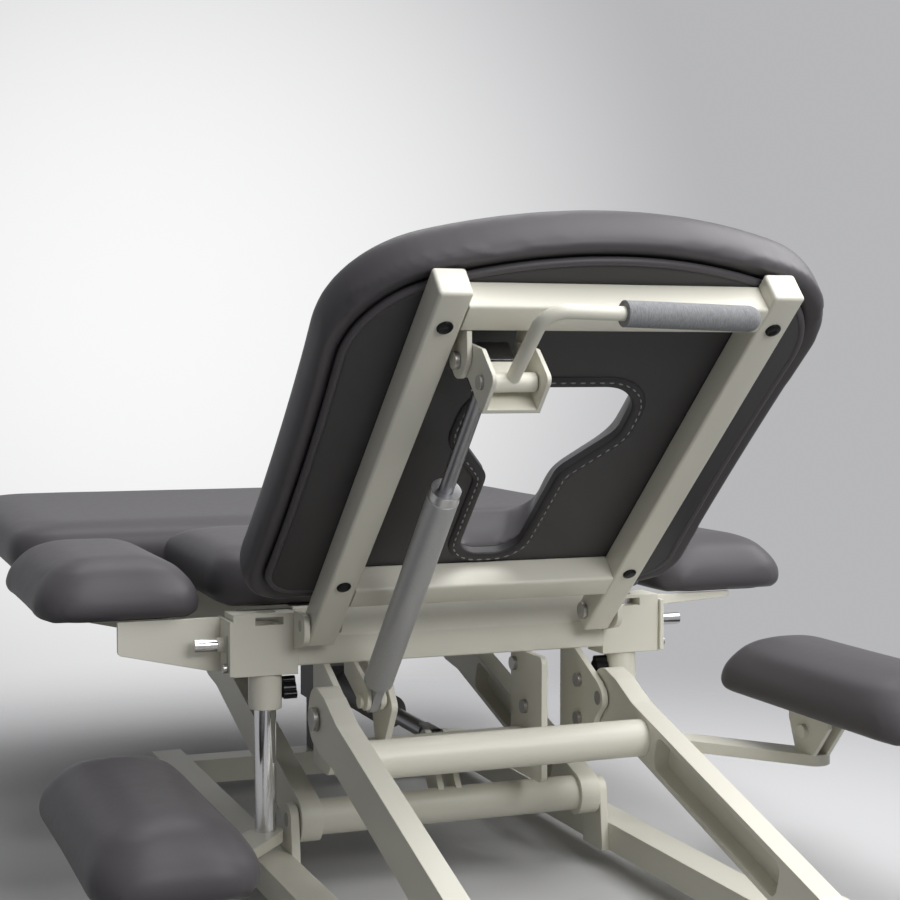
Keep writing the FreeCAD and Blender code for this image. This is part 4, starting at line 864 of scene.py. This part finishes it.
# Which finish each CAD node that stays in view gets
NODE_FINISH = {
    "paint": ("base_rails", "base_cross_tubes", "base_lugs", "front_arm_left", "front_arm_right",
              "rear_arm_left", "rear_arm_right", "front_torsion_tube", "rear_torsion_tube", "front_beam",
              "side_rails", "frame_beams", "frame_plates", "side_bracket_left", "side_bracket_right",
              "gas_bracket", "leg_rails", "ear_plates", "yoke_bracket", "lever_arm", "side_carrier_left",
              "side_carrier_right", "drop_arm_left", "drop_arm_right"),
    "panel": ("seat_board", "leg_board", "side_board_left", "side_board_right", "drop_board_left",
              "drop_board_right"),
    "steel": ("base_pins", "frame_bolts", "hinge_pins", "yoke_shaft"),
    "rod": ("gas_rod", "actuator_rod"),
    "chrome": ("plunger_left", "plunger_right", "drop_post_left", "drop_post_right"),
    "ring": ("guide_ring",),
    "cylinder": ("gas_cylinder",),
    "grip": ("lever_grip",),
    "black": ("clamp_knob_left", "clamp_knob_right"),
    "rubber": ("levelling_feet",),
    "housing": ("actuator_housing",),
}


class TABLE_OT_finishes(bpy.types.Operator):
    """Make the materials and give them to the frame's own parts"""

    bl_idname = "table.finishes"
    bl_label = "Finishes"

    def execute(self, context):
        colours = context.scene.table_finish
        MATERIALS.update({
            "upholstery": leatherette("upholstery", colours.upholstery),
            "binding": leatherette("binding", tint(colours.upholstery, 0.5)),
            "panel": panel_cover(colours.panel),
            "thread": moulded("thread", colours.thread, roughness=0.7, specular=0.2),
            "paint": powder_coat(colours.paint),
            "cap": moulded("cap_plastic", colours.cap, roughness=0.45),
            "black": moulded("black_plastic", (0.009, 0.009, 0.01), roughness=0.06, specular=0.2),
            "rubber": moulded("foot_rubber", (0.03, 0.03, 0.03), roughness=0.7, specular=0.3),
            "housing": moulded("actuator_plastic", (0.12, 0.12, 0.125), roughness=0.5),
            "grip": foam(colours.grip),
            "chrome": metal("chrome", (0.78, 0.78, 0.79), roughness=0.07),
            "steel": metal("steel", (0.50, 0.49, 0.47), roughness=0.28),
            "rod": metal("rod_steel", (0.30, 0.30, 0.32), roughness=0.26),
            "ring": metal("ring_steel", (0.66, 0.66, 0.67), roughness=0.3),
            "cylinder": satin_paint(colours.cylinder),
        })
        for material, names in NODE_FINISH.items():
            for name in names:
                dress(NODES[name], material)
        return {"FINISHED"}


def area_light(name, place, target, size, power):
    """A soft lamp that points at a target."""
    lamp = bpy.data.lights.new(name, "AREA")
    lamp.shape = "RECTANGLE"
    lamp.size, lamp.size_y = size
    lamp.energy = power
    obj = bpy.data.objects.new(name, lamp)
    obj.location = place
    obj.rotation_euler = (Vector(target) - Vector(place)).to_track_quat("-Z", "Y").to_euler()
    bpy.context.collection.objects.link(obj)


# The floor is whole within the first radius and gone at the second
FLOOR_FULL = 0.5
FLOOR_EDGE = 1.8

# Lamps: name, place, target, size, share of the power
LAMPS = (("overhead", (0.7, -1.45, 2.75), (0.0, -0.4, 0.55), (1.8, 1.8), 0.62),
         ("above_rear", (0.3, 1.1, 2.9), (-0.1, 0.2, 0.5), (1.8, 1.8), 0.30),
         ("right", (2.2, -0.3, 2.4), (0.1, -0.5, 0.6), (1.6, 1.6), 0.55),
         ("front", (0.7, -3.3, 1.9), (0, -0.5, 0.5), (1.6, 1.2), 0.56))

# Direction in which the backdrop is lightest, and the cosines to it between which it grows lighter
BRIGHT_SIDE = (0.197, 0.980, 0.032)
BRIGHT_FROM = 0.946
BRIGHT_TO = 1.013

# How much of the backdrop shows in glossy surfaces
MIRRORED = 0.8

# Width of the camera's sensor in millimetres
SENSOR = 36


class TABLE_OT_stage(bpy.types.Operator):
    """Floor, lamps, backdrop and camera"""

    bl_idname = "table.stage"
    bl_label = "Stage"

    def execute(self, context):
        settings = context.scene.table_stage
        self.floor(settings)
        for name, place, target, size, share in LAMPS:
            area_light(name, place, target, size, settings.lamp_power * share)
        self.backdrop(context.scene, settings)
        lens = bpy.data.cameras.new("camera")
        lens.lens = settings.lens
        lens.sensor_width = SENSOR
        camera = bpy.data.objects.new("camera", lens)
        camera.location = settings.camera_place
        camera.rotation_euler = (math.pi / 2 + settings.camera_pitch, 0, -settings.camera_yaw)
        context.collection.objects.link(camera)
        context.scene.camera = camera
        context.scene.view_settings.view_transform = "Standard"
        return {"FINISHED"}

    @staticmethod
    def floor(settings):
        """A round pale floor that fades out into the backdrop."""
        bm = bmesh.new()
        bmesh.ops.create_circle(bm, cap_ends=True, segments=96, radius=FLOOR_EDGE)
        floor = new_object("floor", bm)
        finish = Finish("floor_paper", roughness=0.9, specular=0.1)
        tone = finish.noise(0.8, detail=2.0)
        paper = finish.mix(tone, tint(settings.floor, 0.98), tint(settings.floor, 1.02))
        seen = finish.add("ShaderNodeLightPath", output="Is Camera Ray")
        finish.set("Base Color", finish.mix(seen, settings.floor_bounce, paper))
        away = finish.add("ShaderNodeVectorMath", {"operation": "LENGTH"}, {0: finish.place()}, "Value")
        finish.set("Alpha", 1 - finish.fade(away, FLOOR_FULL, FLOOR_EDGE))
        floor.data.materials.append(finish.material)

    @staticmethod
    def backdrop(scene, settings):
        """An even pale sky that shows as a backdrop with a light side."""
        world = bpy.data.worlds.new("sky")
        world.use_nodes = True
        scene.world = world
        sky = Finish.of_tree(world.node_tree)
        way = sky.add("ShaderNodeTexCoord", output="Generated")
        side = sky.add("ShaderNodeVectorMath", {"operation": "DOT_PRODUCT"}, {0: way, 1: BRIGHT_SIDE},
                       "Value")
        share = sky.fade(side, BRIGHT_FROM, BRIGHT_TO)
        seen = sky.mix(share, settings.backdrop_dark, settings.backdrop_light)
        path = {name: sky.add("ShaderNodeLightPath", output=name)
                for name in ("Is Camera Ray", "Is Glossy Ray", "Is Transmission Ray")}
        shown = path["Is Camera Ray"] + path["Is Transmission Ray"] + path["Is Glossy Ray"] * MIRRORED
        glow = tint(settings.sky, settings.sky_strength)
        background = world.node_tree.nodes["Background"]
        sky.feed(background.inputs["Color"], sky.mix(shown, glow, seen))
        sky.feed(background.inputs["Strength"], 1.0)


class TABLE_PT_looks(bpy.types.Panel):
    """Lists the table's operators and settings"""

    bl_idname = "TABLE_PT_looks"
    bl_label = "Physiotherapy table"
    bl_space_type = "VIEW_3D"
    bl_region_type = "UI"
    bl_category = "Table"

    def draw(self, context):
        for operator in OPERATORS:
            self.layout.operator(operator.bl_idname)
        for name, group in GROUPS:
            settings = getattr(context.scene, name)
            for setting in group.__annotations__:
                self.layout.prop(settings, setting)


GROUPS = (("table_finish", TableFinish), ("table_cushions", TableCushions), ("table_stage", TableStage))
OPERATORS = (TABLE_OT_finishes, TABLE_OT_cushions, TABLE_OT_face_opening, TABLE_OT_head_tubes,
             TABLE_OT_back_panel, TABLE_OT_plugs, TABLE_OT_stage)


def register():
    for name, group in GROUPS:
        bpy.utils.register_class(group)
        setattr(bpy.types.Scene, name, bpy.props.PointerProperty(type=group))
    for operator in OPERATORS:
        bpy.utils.register_class(operator)
    bpy.utils.register_class(TABLE_PT_looks)


def unregister():
    bpy.utils.unregister_class(TABLE_PT_looks)
    for operator in reversed(OPERATORS):
        bpy.utils.unregister_class(operator)
    for name, group in reversed(GROUPS):
        delattr(bpy.types.Scene, name)
        bpy.utils.unregister_class(group)


def main():
    register()
    bpy.ops.table.finishes()
    bpy.ops.table.cushions()
    bpy.ops.table.face_opening()
    bpy.ops.table.head_tubes()
    bpy.ops.table.back_panel()
    bpy.ops.table.plugs()
    bpy.ops.table.stage()


if __name__ == "__main__":
    main()
